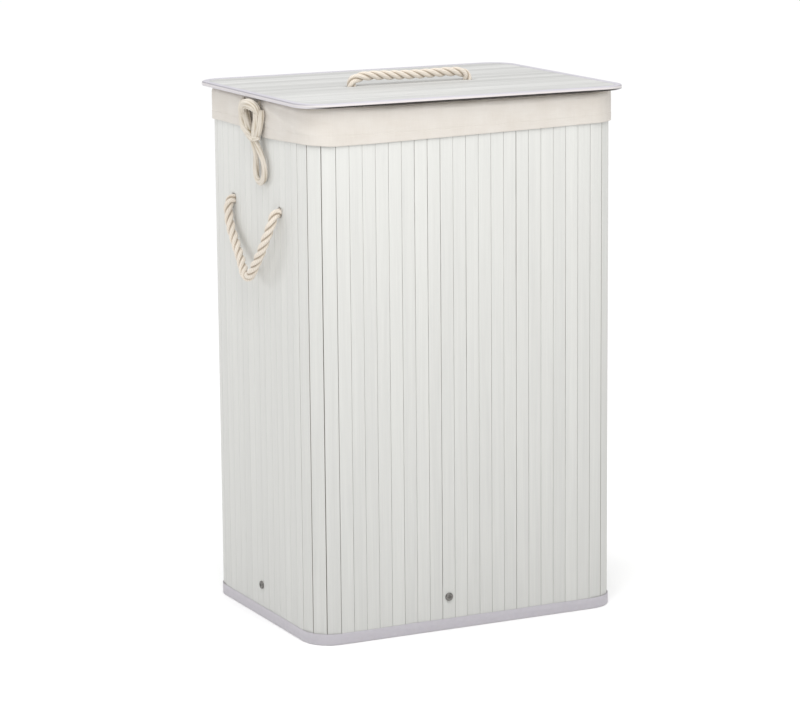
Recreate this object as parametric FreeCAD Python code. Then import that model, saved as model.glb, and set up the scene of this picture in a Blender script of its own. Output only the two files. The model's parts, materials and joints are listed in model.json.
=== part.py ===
"""Laundry hamper: slatted walls on a cloth backing, a cotton liner, rope handles and a lift-off lid.

Millimetres, +Z up. The origin is on the ground under the middle of the hamper. The long front wall
faces -Y, and the short left wall, where the liner is tied, faces -X.
"""

import FreeCAD
import Part

import math
import os

Vector = FreeCAD.Vector

# Whole hamper. Wall sizes are across the line where the slats meet their backing cloth.
wall_width = 410.0
wall_depth = 304.0
wall_corner_radius = 32.84
total_height = 651.0

# Slats, and the cloth that they are glued to.
slat_pitch = 17.0
slat_thickness = 2.0
slat_gap = 0.6
slat_chamfer = 0.4
cloth_thickness = 0.8

# Cotton tape folded over both ends of the slats.
tape_thickness = 0.8
tape_height = 14.0

# Wooden rails inside the rim and at the base.
rail_thickness = 18.0
rail_height = 20.0
rim_rail_drop = 1.5
base_rail_middle = 41.0

# Base panel and its screws.
panel_thickness = 3.0
panel_clearance = 2.4
panel_screw_count = 2
panel_screw_shank = 1.5
panel_screw_head = 3.5
panel_screw_length = 14.0

# Screws through the walls into the base rails.
side_screw_shank = 2.0
side_screw_head = 5.0
side_screw_head_height = 2.2
side_screw_length = 18.0
front_screw_x = -28.3
left_screw_y = 3.0
screw_hole_clearance = 0.05

# Liner: bag, and the cuff that is folded out over the rim.
liner_thickness = 1.2
liner_clearance = 0.4
bag_floor_clearance = 0.3
cuff_height = 45.3
slit_height = 12.0
slit_width = 5.0

# Lid, from its underside up: tape, lining, board, slats, tape.
lid_overhang_x = 10.5
lid_overhang_y = 13.5
lid_corner_radius = 36.0
lid_tape_thickness = 0.6
lid_tape_width = 9.0
lid_lining_thickness = 0.4
lid_board_thickness = 2.0
lid_slat_thickness = 1.8
lid_seat_gap = 0.3

# Battens under the lid.
batten_width = 20.0
batten_height = 10.0
batten_clearance = 1.5
batten_screw_count = 3
batten_screw_shank = 1.5
batten_screw_head = 3.5
batten_screw_length = 11.0

# Rope handles. The side holes are below the hem of the cuff by their drop. The first and last points
# of each rope are on its hinge line.
rope_diameter = 11.0
rope_hole = 12.5
rope_gap = 0.3
side_hole_spacing = 137.0
side_hole_drop = 86.0
lid_hole_spacing = 160.0
knot_radius = 11.0
knot_length = 15.0
knot_fillet = 5.0
# Side rope between its ends: distance off the wall, Y, and height from the holes.
side_rope_points = [
    (9.5, -60.0, -13.5),
    (10.5, -43.0, -36.0),
    (14.0, -24.0, -62.5),
    (20.5, -8.0, -81.5),
    (20.5, 6.0, -83.0),
    (17.0, 22.0, -64.5),
    (17.0, 42.0, -37.5),
    (12.5, 58.0, -15.0),
]
# Lid rope between its ends: X, and height above the lid's slats.
lid_rope_points = [
    (-69.5, 17.1),
    (-44.0, 18.6),
    (-14.0, 17.6),
    (16.0, 18.6),
    (45.0, 17.8),
    (70.0, 16.8),
]

# Drawstring tied at the cuff on the left wall: distance off the slats, Y, and height from the hem.
string_diameter = 8.0
string_loop_diameter = 7.0
string_knot_radius = 7.0
string_knot_length = 20.0
string_knot_fillet = 4.5
string_knot_point = (9.6, -7.0, -4.5)
far_string_points = [
    (1.9, 38.0, 39.0),
    (7.3, 36.5, 31.0),
    (8.2, 33.0, 13.0),
    (9.4, 18.0, -0.5),
    (9.6, -7.0, -4.5),
]
near_string_points = [
    (1.9, -8.0, 41.0),
    (7.3, -9.5, 33.0),
    (8.6, -14.5, 17.0),
    (9.6, -9.0, -4.0),
]
string_loop_points = [
    (9.6, -2.8, -6.0),
    (6.2, 0.0, -20.0),
    (5.2, 3.0, -37.0),
    (5.2, 0.0, -52.0),
    (5.4, -9.0, -59.5),
    (5.4, -21.0, -59.5),
    (5.4, -30.0, -51.0),
    (5.2, -31.0, -36.0),
    (6.2, -24.0, -20.0),
    (9.6, -12.4, -6.0),
]

# Levels and insets that follow from the sizes above. An inset is measured from the wall line inwards.
lid_thickness = (
    2 * lid_tape_thickness + lid_lining_thickness + lid_board_thickness + lid_slat_thickness
)
lid_bottom = total_height - lid_thickness
rim_top = lid_bottom - lid_seat_gap
slat_top = rim_top - liner_thickness - tape_thickness
slat_bottom = tape_thickness
cuff_hem = rim_top - cuff_height
side_hole_height = cuff_hem - side_hole_drop
straight_x = wall_width - 2 * wall_corner_radius
straight_y = wall_depth - 2 * wall_corner_radius
rim_rail_inset = cloth_thickness + tape_thickness
bag_inset = rim_rail_inset + rail_thickness + liner_clearance
panel_bottom = base_rail_middle + rail_height / 2
cuff_proud = slat_thickness + tape_thickness + liner_clearance
slat_face_x = wall_width / 2 + slat_thickness
slat_face_y = wall_depth / 2 + slat_thickness
lid_half_x = slat_face_x + lid_overhang_x
lid_half_y = slat_face_y + lid_overhang_y


def on_wall_line(distance):
    """Point of the rounded wall line at a distance from the front wall's left end, anticlockwise."""
    quarter = wall_corner_radius * math.pi / 2
    for side in range(4):
        run = (straight_x, straight_y)[side % 2]
        out = (wall_depth, wall_width)[side % 2] / 2
        if distance <= run:
            local = Vector(distance - run / 2, -out, 0)
            break
        distance -= run
        if distance <= quarter:
            turn = distance / wall_corner_radius
            local = Vector(
                run / 2 + wall_corner_radius * math.sin(turn),
                wall_corner_radius * (1 - math.cos(turn)) - out,
                0,
            )
            break
        distance -= quarter
    return FreeCAD.Rotation(Vector(0, 0, 1), side * 90).multVec(local)


def slat_joints():
    """Points where neighbouring slats meet, evenly spaced round the wall line."""
    perimeter = 2 * (straight_x + straight_y) + 2 * math.pi * wall_corner_radius
    count = round(perimeter / slat_pitch)
    return [on_wall_line(perimeter * index / count) for index in range(count)]


def outward(start, end):
    """Unit normal of an anticlockwise edge, pointing out of the loop."""
    along = (end - start).normalize()
    return Vector(along.y, -along.x, 0)


def facet_loop(joints, offset, z):
    """Closed wire through the joints, moved outwards by an offset, without points in line."""
    corners = []
    for index, point in enumerate(joints):
        before = outward(joints[index - 1], point)
        after = outward(point, joints[(index + 1) % len(joints)])
        cosine = before.dot(after)
        if cosine < 1 - 1e-9:
            corners.append(point + (before + after) * (offset / (1 + cosine)) + Vector(0, 0, z))
    return Part.makePolygon(corners + corners[:1])


def facet_ring(joints, outer, inner, bottom, top):
    """Many-sided ring that follows the slats between two offsets and two heights."""
    loops = [facet_loop(joints, outer, bottom), facet_loop(joints, inner, bottom)]
    face = Part.Face(loops[0]).cut(Part.Face(loops[1]))
    return face.extrude(Vector(0, 0, top - bottom)).Solids[0]


def rounded_prism(half_x, half_y, radius, bottom, top):
    """Solid with a rounded rectangular outline."""
    box = Part.makeBox(2 * half_x, 2 * half_y, top - bottom, Vector(-half_x, -half_y, bottom))
    upright = [edge for edge in box.Edges if abs(edge.tangentAt(edge.FirstParameter).z) > 0.5]
    return box.makeFillet(radius, upright)


def inset_prism(inset, bottom, top):
    """Rounded prism that stands inside the wall line by an inset, or outside if it is negative."""
    return rounded_prism(
        wall_width / 2 - inset, wall_depth / 2 - inset, wall_corner_radius - inset, bottom, top
    )


def lid_prism(inset, bottom, top):
    """Rounded prism that stands inside the lid's outline by an inset."""
    return rounded_prism(
        lid_half_x - inset, lid_half_y - inset, lid_corner_radius - inset, bottom, top
    )


def centred_box(middle, size):
    """Box given by its middle and its size."""
    return Part.makeBox(size.x, size.y, size.z, middle - size / 2)


def aimed(shape, origin, direction):
    """Shape made along +Z from the origin, moved to a place and aimed along a direction."""
    moved = shape.copy()
    moved.Placement = FreeCAD.Placement(origin, FreeCAD.Rotation(Vector(0, 0, 1), direction))
    return moved


def drilled(solids, cutters):
    """Solids with every cutter that reaches them taken away."""
    cut = []
    for solid in solids:
        for cutter in cutters:
            if solid.BoundBox.intersect(cutter.BoundBox):
                solid = solid.cut(cutter)
        cut += solid.Solids
    return cut


def half_turned(shape):
    """Copy of a shape turned half round the hamper's upright axis."""
    turned = shape.copy()
    turned.rotate(Vector(0, 0, 0), Vector(0, 0, 1), 180)
    return turned


def export(name, solids):
    """Write one named piece, or one group of like pieces."""
    shape = solids[0] if len(solids) == 1 else Part.makeCompound(solids)
    shape.exportStep("parts/" + name + ".step")


def slat(start, end):
    """One upright slat on the chord between two joints, its outer edges chamfered."""
    along = (end - start).normalize()
    out = outward(start, end)
    left = start + along * (slat_gap / 2)
    right = end - along * (slat_gap / 2)
    outline = [
        left,
        right,
        right + out * (slat_thickness - slat_chamfer),
        right + out * slat_thickness - along * slat_chamfer,
        left + out * slat_thickness + along * slat_chamfer,
        left + out * (slat_thickness - slat_chamfer),
    ]
    raised = [point + Vector(0, 0, slat_bottom) for point in outline]
    face = Part.Face(Part.makePolygon(raised + raised[:1]))
    return face.extrude(Vector(0, 0, slat_top - slat_bottom))


def wall_name(point):
    """Name of the wall or corner that a slat with this middle stands in."""
    across = "left" if point.x < 0 else "right"
    along = "front" if point.y < 0 else "back"
    beyond_x = abs(point.x) > straight_x / 2
    beyond_y = abs(point.y) > straight_y / 2
    if beyond_x and beyond_y:
        return along + "_" + across + "_corner_slats"
    return (across if beyond_x else along) + "_slats"


def cross_recess(depth, length, width):
    """Cross-shaped cutter that reaches down from z = 0."""
    first = centred_box(Vector(0, 0, 0), Vector(length, width, 2 * depth))
    second = centred_box(Vector(0, 0, 0), Vector(width, length, 2 * depth))
    return first.fuse(second)


def pan_screw(head_radius, head_height, shank_radius, length):
    """Pan-head screw along +Z: the head above z = 0, the shank below."""
    head = Part.makeCylinder(head_radius, head_height)
    rim = [edge for edge in head.Edges if edge.BoundBox.ZMin > head_height - 0.01]
    head = head.makeFillet(head_height * 0.6, rim)
    recess = cross_recess(head_height * 0.55, head_radius, head_radius * 0.2)
    recess.translate(Vector(0, 0, head_height))
    shank = Part.makeCylinder(shank_radius, length, Vector(0, 0, -length))
    return head.cut(recess).fuse(shank).removeSplitter()


def flush_cone(head_radius, shank_radius):
    """Countersunk head, or its seat, with its flat top at z = 0."""
    depth = head_radius - shank_radius
    return Part.makeCone(shank_radius, head_radius, depth, Vector(0, 0, -depth))


def flush_screw(head_radius, shank_radius, length):
    """Countersunk screw along +Z, its head flush with z = 0."""
    recess = cross_recess((head_radius - shank_radius) * 0.5, head_radius, head_radius * 0.2)
    shank = Part.makeCylinder(shank_radius, length, Vector(0, 0, -length))
    return flush_cone(head_radius, shank_radius).fuse(shank).removeSplitter().cut(recess)


def flush_hole(head_radius, shank_radius, length):
    """Cutter for a countersunk screw, with a named clearance all round."""
    wide = head_radius + screw_hole_clearance
    narrow = shank_radius + screw_hole_clearance
    bore = Part.makeCylinder(narrow, length, Vector(0, 0, -length - screw_hole_clearance))
    above = Part.makeCylinder(wide, 1.0)
    return flush_cone(wide, narrow).fuse(bore).fuse(above)


def rope_path(name, points):
    """Straight runs joined by tangent arcs, each as wide as its two runs allow."""
    edges = []
    radii = []
    at = points[0]
    for before, corner, after in zip(points, points[1:], points[2:]):
        inwards = before - corner
        onwards = after - corner
        reach = 0.45 * min(inwards.Length, onwards.Length)
        half_turn = (math.pi - inwards.getAngle(onwards)) / 2
        radius = reach / math.tan(half_turn)
        radii.append(radius)
        first = corner + inwards * (reach / inwards.Length)
        last = corner + onwards * (reach / onwards.Length)
        to_centre = (inwards.normalize() + onwards.normalize()).normalize()
        middle = corner + to_centre * (radius / math.cos(half_turn) - radius)
        edges.append(Part.LineSegment(at, first).toShape())
        edges.append(Part.Arc(first, middle, last).toShape())
        at = last
    edges.append(Part.LineSegment(at, points[-1]).toShape())
    path = Part.Wire(edges)
    print(name, "length", round(path.Length, 1), "radii", [round(value, 1) for value in radii])
    return path


def rope_tube(name, points, diameter):
    """Round rope along its points."""
    path = rope_path(name, points)
    start = points[1] - points[0]
    circle = Part.Wire(Part.Circle(points[0], start, diameter / 2).toShape())
    tube = path.makePipeShell([circle], True, False)
    solid = Part.Solid(tube.Shells[0]) if not tube.Solids else tube.Solids[0]
    expected = path.Length * math.pi * diameter ** 2 / 4
    print(name, "volume over section times length", round(solid.Volume / expected, 4))
    return solid


def handle_rope(name, points):
    """Handle rope whose ends are rounded about its hinge line."""
    rope = rope_tube(name, points, rope_diameter)
    for end in (points[0], points[-1]):
        rope = rope.fuse(Part.makeSphere(rope_diameter / 2, end))
    return rope.removeSplitter()


def stopper_knot(origin, direction, reach):
    """Knot behind a panel, with the rope's end passing through the panel's hole to its face."""
    knot = Part.makeCylinder(knot_radius, knot_length)
    knot = knot.makeFillet(knot_fillet, [edge for edge in knot.Edges if edge.Length > knot_radius * 6])
    through = Part.makeCylinder(rope_diameter / 2, reach + knot_length / 2)
    knot = knot.fuse(through.translated(Vector(0, 0, knot_length / 2)))
    return aimed(knot, origin - direction * (knot_length + reach), direction)


def off_left_wall(point, level):
    """Place of a point given as distance off the left wall's slats, Y, and height from a level."""
    return Vector(-slat_face_x - point[0], point[1], level + point[2])


def wall_cutters():
    """Bores for the rope handles and the side screws, right through the walls."""
    radius = rope_hole / 2
    reach = wall_width
    cutters = []
    for y in (-side_hole_spacing / 2, side_hole_spacing / 2):
        start = Vector(-reach, y, side_hole_height)
        cutters.append(Part.makeCylinder(radius, 2 * reach, start, Vector(1, 0, 0)))
    for origin, direction in side_screw_places():
        bore = Part.makeCylinder(
            side_screw_shank + screw_hole_clearance,
            side_screw_length + screw_hole_clearance,
            origin,
            direction * -1,
        )
        cutters.append(bore)
    return cutters


def side_screw_places():
    """Seat of each side screw on the slats, and the way its head faces."""
    return [
        (Vector(front_screw_x, -slat_face_y, base_rail_middle), Vector(0, -1, 0)),
        (Vector(-front_screw_x, slat_face_y, base_rail_middle), Vector(0, 1, 0)),
        (Vector(-slat_face_x, left_screw_y, base_rail_middle), Vector(-1, 0, 0)),
        (Vector(slat_face_x, -left_screw_y, base_rail_middle), Vector(1, 0, 0)),
    ]


def rail_places(inset, middle_z):
    """Name, middle and size of the four rails whose outer faces stand at an inset."""
    length_x = straight_x - 2 * slat_pitch
    length_y = straight_y - 2 * slat_pitch
    y = wall_depth / 2 - inset - rail_thickness / 2
    x = wall_width / 2 - inset - rail_thickness / 2
    across = Vector(length_x, rail_thickness, rail_height)
    along = Vector(rail_thickness, length_y, rail_height)
    return [
        ("front", Vector(0, -y, middle_z), across),
        ("back", Vector(0, y, middle_z), across),
        ("left", Vector(-x, 0, middle_z), along),
        ("right", Vector(x, 0, middle_z), along),
    ]


def panel_screw_places():
    """Tops of the screws that hold the base panel down, spread along each rail."""
    places = []
    for name, middle, size in rail_places(cloth_thickness, base_rail_middle):
        run = Vector(1, 0, 0) if size.x > size.y else Vector(0, 1, 0)
        step = max(size.x, size.y) / panel_screw_count
        for index in range(panel_screw_count):
            shift = run * (step * (index + 0.5 - panel_screw_count / 2))
            top = middle + shift
            top.z = panel_bottom + panel_thickness
            places.append(top)
    return places


def make_walls(cutters):
    """Slats, their backing cloth and the tapes over their ends."""
    joints = slat_joints()
    walls = {}
    for index, start in enumerate(joints):
        end = joints[(index + 1) % len(joints)]
        walls.setdefault(wall_name((start + end) / 2), []).append(slat(start, end))
    for name, slats in walls.items():
        export(name, drilled(slats, cutters))
    cloth = facet_ring(joints, 0.0, -cloth_thickness, slat_bottom, slat_top)
    export("wall_cloth", drilled([cloth], cutters))
    outer = slat_thickness + tape_thickness
    inner = -cloth_thickness - tape_thickness
    ends = {
        "bottom_binding": (slat_bottom - tape_thickness, tape_height),
        "top_binding": (slat_top + tape_thickness - tape_height, slat_top + tape_thickness),
    }
    for name, (bottom, top) in ends.items():
        tape = facet_ring(joints, outer, inner, bottom, top)
        core = facet_ring(joints, slat_thickness, -cloth_thickness, slat_bottom, slat_top)
        export(name, [tape.cut(core)])


def make_base(cutters):
    """Base rails, the panel on them and every screw of the base."""
    screw_tops = panel_screw_places()
    hole = flush_hole(panel_screw_head, panel_screw_shank, panel_screw_length)
    holes = [hole.translated(top) for top in screw_tops]
    for name, middle, size in rail_places(cloth_thickness, base_rail_middle):
        export(name + "_base_rail", drilled([centred_box(middle, size)], cutters + holes))
    panel_top = panel_bottom + panel_thickness
    panel = inset_prism(cloth_thickness + panel_clearance, panel_bottom, panel_top)
    export("base_panel", drilled([panel], holes))
    screw = flush_screw(panel_screw_head, panel_screw_shank, panel_screw_length)
    export("base_panel_screws", [screw.translated(top) for top in screw_tops])
    side_screw = pan_screw(
        side_screw_head, side_screw_head_height, side_screw_shank, side_screw_length
    )
    export("base_screws", [aimed(side_screw, *place) for place in side_screw_places()])


def make_rim():
    """Rails that keep the rim straight."""
    middle_z = slat_top - rim_rail_drop - rail_height / 2
    for name, middle, size in rail_places(rim_rail_inset, middle_z):
        export(name + "_rim_rail", [centred_box(middle, size)])


def make_liner():
    """Cotton bag inside the rails, and its cuff over the rim."""
    bag_bottom = panel_bottom + panel_thickness + bag_floor_clearance
    bag = inset_prism(bag_inset, bag_bottom, rim_top)
    bag = bag.fuse(inset_prism(0.0, rim_top - liner_thickness, rim_top))
    bag = bag.cut(inset_prism(bag_inset + liner_thickness, bag_bottom + liner_thickness, rim_top + 1))
    export("liner_bag", [bag.removeSplitter()])
    cuff = inset_prism(-cuff_proud - liner_thickness, cuff_hem, rim_top)
    cuff = cuff.cut(inset_prism(-cuff_proud, cuff_hem - 1, rim_top - liner_thickness))
    cuff = cuff.cut(inset_prism(0.0, cuff_hem - 1, rim_top + 1))
    for points in (far_string_points, near_string_points):
        middle = off_left_wall(points[0], cuff_hem)
        cuff = cuff.cut(centred_box(middle, Vector(slit_width, slit_width, slit_height)))
    export("liner_cuff", [cuff])


def make_drawstring():
    """Drawstring: two gathered strands out of the cuff's slits, their knot and one hanging loop."""
    half = string_knot_length / 2
    knot = Part.makeCylinder(string_knot_radius, string_knot_length, Vector(0, 0, -half))
    ends = [edge for edge in knot.Edges if edge.Length > string_knot_radius * 6]
    knot = knot.makeFillet(string_knot_fillet, ends)
    knot = aimed(knot, off_left_wall(string_knot_point, cuff_hem), Vector(0, 1, 0))
    export("drawstring_knot", [knot])
    inside = Part.makeBox(wall_width, wall_depth, total_height)
    cuff_face = -wall_width / 2 - cuff_proud - liner_thickness
    inside.translate(Vector(cuff_face, -wall_depth / 2, 0))
    strings = {
        "drawstring_far_strand": (far_string_points, string_diameter),
        "drawstring_near_strand": (near_string_points, string_diameter),
        "drawstring_loop": (string_loop_points, string_loop_diameter),
    }
    for name, (points, diameter) in strings.items():
        places = [off_left_wall(point, cuff_hem) for point in points]
        tube = rope_tube(name, places, diameter)
        tube = tube.cut(knot)
        if name != "drawstring_loop":
            tube = tube.cut(inside)
        export(name, [max(tube.Solids, key=lambda solid: solid.Volume)])


def make_side_handles():
    """Rope handle and stopper knots of the left wall, and the same half a turn round."""
    off = rope_diameter / 2 + rope_gap
    reach = slat_thickness + cloth_thickness + rope_gap
    near = (off, -side_hole_spacing / 2, 0.0)
    far = (off, side_hole_spacing / 2, 0.0)
    points = [near] + side_rope_points + [far]
    rope = handle_rope("side handle", [off_left_wall(point, side_hole_height) for point in points])
    knots = []
    for y in (-side_hole_spacing / 2, side_hole_spacing / 2):
        face = Vector(-slat_face_x, y, side_hole_height)
        knots.append(stopper_knot(face, Vector(-1, 0, 0), reach))
    export("left_handle_rope", [rope])
    export("left_handle_knots", knots)
    export("right_handle_rope", [half_turned(rope)])
    export("right_handle_knots", [half_turned(knot) for knot in knots])


def make_lid():
    """Lid: taped board under slats, with a lining and two battens that drop inside the rim."""
    lining_bottom = lid_bottom + lid_tape_thickness
    board_bottom = lining_bottom + lid_lining_thickness
    slats_bottom = board_bottom + lid_board_thickness
    slats_top = slats_bottom + lid_slat_thickness
    cutters = []
    for x in (-lid_hole_spacing / 2, lid_hole_spacing / 2):
        start = Vector(x, 0, lid_bottom - 1)
        cutters.append(Part.makeCylinder(rope_hole / 2, lid_thickness + 2, start))

    batten_x = wall_width / 2 - bag_inset - liner_thickness - batten_clearance - batten_width / 2
    screw = flush_screw(batten_screw_head, batten_screw_shank, batten_screw_length)
    hole = flush_hole(batten_screw_head, batten_screw_shank, batten_screw_length)
    screws = []
    holes = []
    for name, x in (("left", -batten_x), ("right", batten_x)):
        for index in range(batten_screw_count):
            y = straight_y * (index + 0.5) / batten_screw_count - straight_y / 2
            head = Vector(x, y, lining_bottom - batten_height)
            screws.append(aimed(screw, head, Vector(0, 0, -1)))
            holes.append(aimed(hole, head, Vector(0, 0, -1)))
        middle = Vector(x, 0, lining_bottom - batten_height / 2)
        batten = centred_box(middle, Vector(batten_width, straight_y, batten_height))
        export(name + "_lid_batten", drilled([batten], holes))
    export("lid_batten_screws", screws)

    export("lid_lining", drilled([lid_prism(lid_tape_thickness, lining_bottom, board_bottom)],
                                 cutters + holes))
    export("lid_board", drilled([lid_prism(lid_tape_thickness, board_bottom, slats_bottom)],
                                cutters + holes))
    core = lid_prism(lid_tape_thickness, slats_bottom, slats_top)
    core_depth = 2 * (lid_half_y - lid_tape_thickness)
    count = round(core_depth / slat_pitch)
    slats = []
    for index in range(count):
        y = core_depth * ((index + 0.5) / count - 0.5)
        size = Vector(3 * lid_half_x, core_depth / count - slat_gap, 3 * lid_slat_thickness)
        slats += core.common(centred_box(Vector(0, y, slats_bottom), size)).Solids
    export("lid_slats", drilled(slats, cutters))
    binding = lid_prism(0.0, lid_bottom, total_height)
    binding = binding.cut(lid_prism(lid_tape_thickness, lining_bottom, slats_top))
    binding = binding.cut(lid_prism(lid_tape_width, lid_bottom - 1, total_height + 1))
    export("lid_binding", [binding])

    hinge_z = slats_top + rope_diameter / 2 + rope_gap
    ends = [Vector(-lid_hole_spacing / 2, 0, hinge_z), Vector(lid_hole_spacing / 2, 0, hinge_z)]
    middle = [Vector(x, 0, slats_top + z) for x, z in lid_rope_points]
    export("lid_handle_rope", [handle_rope("lid handle", ends[:1] + middle + ends[1:])])
    reach = slats_top - lining_bottom + rope_gap
    knots = []
    for x in (-lid_hole_spacing / 2, lid_hole_spacing / 2):
        knots.append(stopper_knot(Vector(x, 0, slats_top), Vector(0, 0, 1), reach))
    export("lid_handle_knots", knots)


os.makedirs("parts", exist_ok=True)
wall_holes = wall_cutters()
make_walls(wall_holes)
make_base(wall_holes)
make_rim()
make_liner()
make_drawstring()
make_side_handles()
make_lid()
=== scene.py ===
"""Laundry hamper with lid: split bamboo walls, cotton liner with its drawstring, and rope handles.

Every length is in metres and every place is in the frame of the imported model: +Z up, -Y out of
the long front wall and -X out of the short wall where the drawstring is tied.
"""

import json
import logging
import math
from dataclasses import dataclass, field
from enum import Enum
from typing import Callable, Iterable, Sequence

import bpy
import numpy as np
from mathutils import Matrix, Vector

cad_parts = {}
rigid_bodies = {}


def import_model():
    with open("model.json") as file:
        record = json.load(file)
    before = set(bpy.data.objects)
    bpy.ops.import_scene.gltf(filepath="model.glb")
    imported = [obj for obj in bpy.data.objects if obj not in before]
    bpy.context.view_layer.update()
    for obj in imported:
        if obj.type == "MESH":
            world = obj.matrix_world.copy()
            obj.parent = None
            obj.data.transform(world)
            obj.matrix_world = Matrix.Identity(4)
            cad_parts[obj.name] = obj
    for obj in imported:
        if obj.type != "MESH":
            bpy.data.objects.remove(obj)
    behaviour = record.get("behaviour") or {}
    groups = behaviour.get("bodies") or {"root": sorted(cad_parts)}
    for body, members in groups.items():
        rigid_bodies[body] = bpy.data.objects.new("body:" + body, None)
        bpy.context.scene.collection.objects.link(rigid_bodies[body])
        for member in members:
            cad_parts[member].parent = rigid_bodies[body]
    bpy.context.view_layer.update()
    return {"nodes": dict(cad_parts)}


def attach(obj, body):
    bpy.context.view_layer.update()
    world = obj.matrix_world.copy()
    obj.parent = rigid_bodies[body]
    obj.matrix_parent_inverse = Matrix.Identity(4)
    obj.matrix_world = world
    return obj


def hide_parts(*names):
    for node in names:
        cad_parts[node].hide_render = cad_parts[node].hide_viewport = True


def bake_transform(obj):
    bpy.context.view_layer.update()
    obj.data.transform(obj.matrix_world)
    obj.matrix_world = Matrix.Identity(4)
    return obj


log = logging.getLogger("hamper")
MM = 0.001
SEED = 41
Point = tuple[float, float, float]


# ---------------------------------------------------------------- colours, nodes and finishes


def linear(code: str) -> tuple[float, float, float, float]:
    """Turn an sRGB hex colour into the linear colour that a shader takes.

    Args:
        code: Colour written as #RRGGBB.

    Returns:
        Linear red, green and blue, with an alpha of one.
    """
    parts = [int(code[at:at + 2], 16) / 255 for at in (1, 3, 5)]
    light = [p / 12.92 if p <= 0.04045 else ((p + 0.055) / 1.055) ** 2.4 for p in parts]
    return (light[0], light[1], light[2], 1.0)


def add(tree: bpy.types.NodeTree, kind: str, settings: dict | None = None,
        inputs: dict | None = None) -> bpy.types.Node:
    """Add one shader node with its settings, values and links.

    Args:
        tree: Node tree that the node goes into.
        kind: Node type without its ShaderNode prefix.
        settings: Properties of the node by name.
        inputs: Values or output sockets by input name or number.

    Returns:
        The new node.
    """
    node = tree.nodes.new("ShaderNode" + kind)
    for key, value in (settings or {}).items():
        setattr(node, key, value)
    for key, value in (inputs or {}).items():
        if isinstance(value, bpy.types.NodeSocket):
            tree.links.new(value, node.inputs[key])
        else:
            node.inputs[key].default_value = value
    return node


class Grain(Enum):
    """Way that the grain of a plank runs."""

    X = (1 / 90, 1.0, 1.0)
    Y = (1.0, 1 / 90, 1.0)


@dataclass(frozen=True)
class Finish:
    """A finish: its name, its two main tones and its gloss."""

    name: str
    tone: str
    shade: str
    roughness: float
    ior: float = 1.5
    metallic: float = 0.0

    def material(self) -> bpy.types.Material:
        """Build the material with its shader and this finish's own pattern.

        Returns:
            The finished material.
        """
        made = bpy.data.materials.new(self.name)
        made.use_nodes = True
        tree = made.node_tree
        shader = tree.nodes["Principled BSDF"]
        shader.inputs["Roughness"].default_value = self.roughness
        shader.inputs["Metallic"].default_value = self.metallic
        if not self.metallic:
            shader.inputs["IOR"].default_value = self.ior
        self.pattern(tree, shader)
        return made

    def pattern(self, tree: bpy.types.NodeTree, shader: bpy.types.Node) -> None:
        """Add the pattern of the finish.

        Args:
            tree: Node tree of the material.
            shader: Its Principled shader.
        """
        raise NotImplementedError


@dataclass(frozen=True)
class PaintedBamboo(Finish):
    """Split bamboo, planed and sprayed with thin satin paint.

    The paint is thin, so the fibres show as faint streaks and ridges along each strip, and the
    sawn sides stay darker where the spray didn't reach into the joints.
    """

    raw: str = "#857F74"
    fibre_mm: float = 1.1
    fibre_length_mm: float = 70.0

    def pattern(self, tree: bpy.types.NodeTree, shader: bpy.types.Node) -> None:
        """Streaks along the strip, its own tone with painted shade low down, and bare wood in the joints.

        Args:
            tree: The material's node tree.
            shader: The surface node that the look goes into.
        """
        grain = add(tree, "Attribute", {"attribute_name": "grain"})
        # The tone attribute holds each strip's own tone and, on the walls, painted shade that darkens them
        # towards the floor.
        tone = add(tree, "Attribute", {"attribute_name": "tone"})
        depth = add(tree, "Attribute", {"attribute_name": "depth"})
        fine_scale = (1000 / self.fibre_mm, 1000 / self.fibre_length_mm, 1.0)
        fine_place = add(tree, "Mapping", None, {"Vector": grain.outputs["Vector"], "Scale": fine_scale})
        fine = add(tree, "TexNoise", None, {"Vector": fine_place.outputs[0], "Scale": 1.0, "Detail": 3.0})
        broad_scale = (1000 / (6 * self.fibre_mm), 1000 / (4 * self.fibre_length_mm), 1.0)
        broad_place = add(tree, "Mapping", None, {"Vector": grain.outputs["Vector"], "Scale": broad_scale})
        broad = add(tree, "TexNoise", None, {"Vector": broad_place.outputs[0], "Scale": 1.0, "Detail": 2.0})
        streaks = add(tree, "Math", {"operation": "MULTIPLY_ADD"},
                      {0: broad.outputs["Fac"], 1: 0.5, 2: tone.outputs["Fac"]})
        streaks = add(tree, "Math", {"operation": "MULTIPLY_ADD", "use_clamp": True},
                      {0: fine.outputs["Fac"], 1: 0.55, 2: streaks.outputs[0]})
        paint = add(tree, "Mix", {"data_type": "RGBA"},
                    {"Factor": streaks.outputs[0], "A": linear(self.shade), "B": linear(self.tone)})
        bare = add(tree, "Mix", {"data_type": "RGBA"},
                   {"Factor": depth.outputs["Fac"], "A": paint.outputs["Result"], "B": linear(self.raw)})
        tree.links.new(bare.outputs["Result"], shader.inputs["Base Color"])
        gloss = add(tree, "MapRange", None, {"Value": broad.outputs["Fac"], "To Min": self.roughness - 0.08,
                                             "To Max": self.roughness + 0.1})
        tree.links.new(gloss.outputs[0], shader.inputs["Roughness"])
        bump = add(tree, "Bump", None,
                   {"Height": fine.outputs["Fac"], "Strength": 0.5, "Distance": 0.06 * MM})
        tree.links.new(bump.outputs[0], shader.inputs["Normal"])


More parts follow.
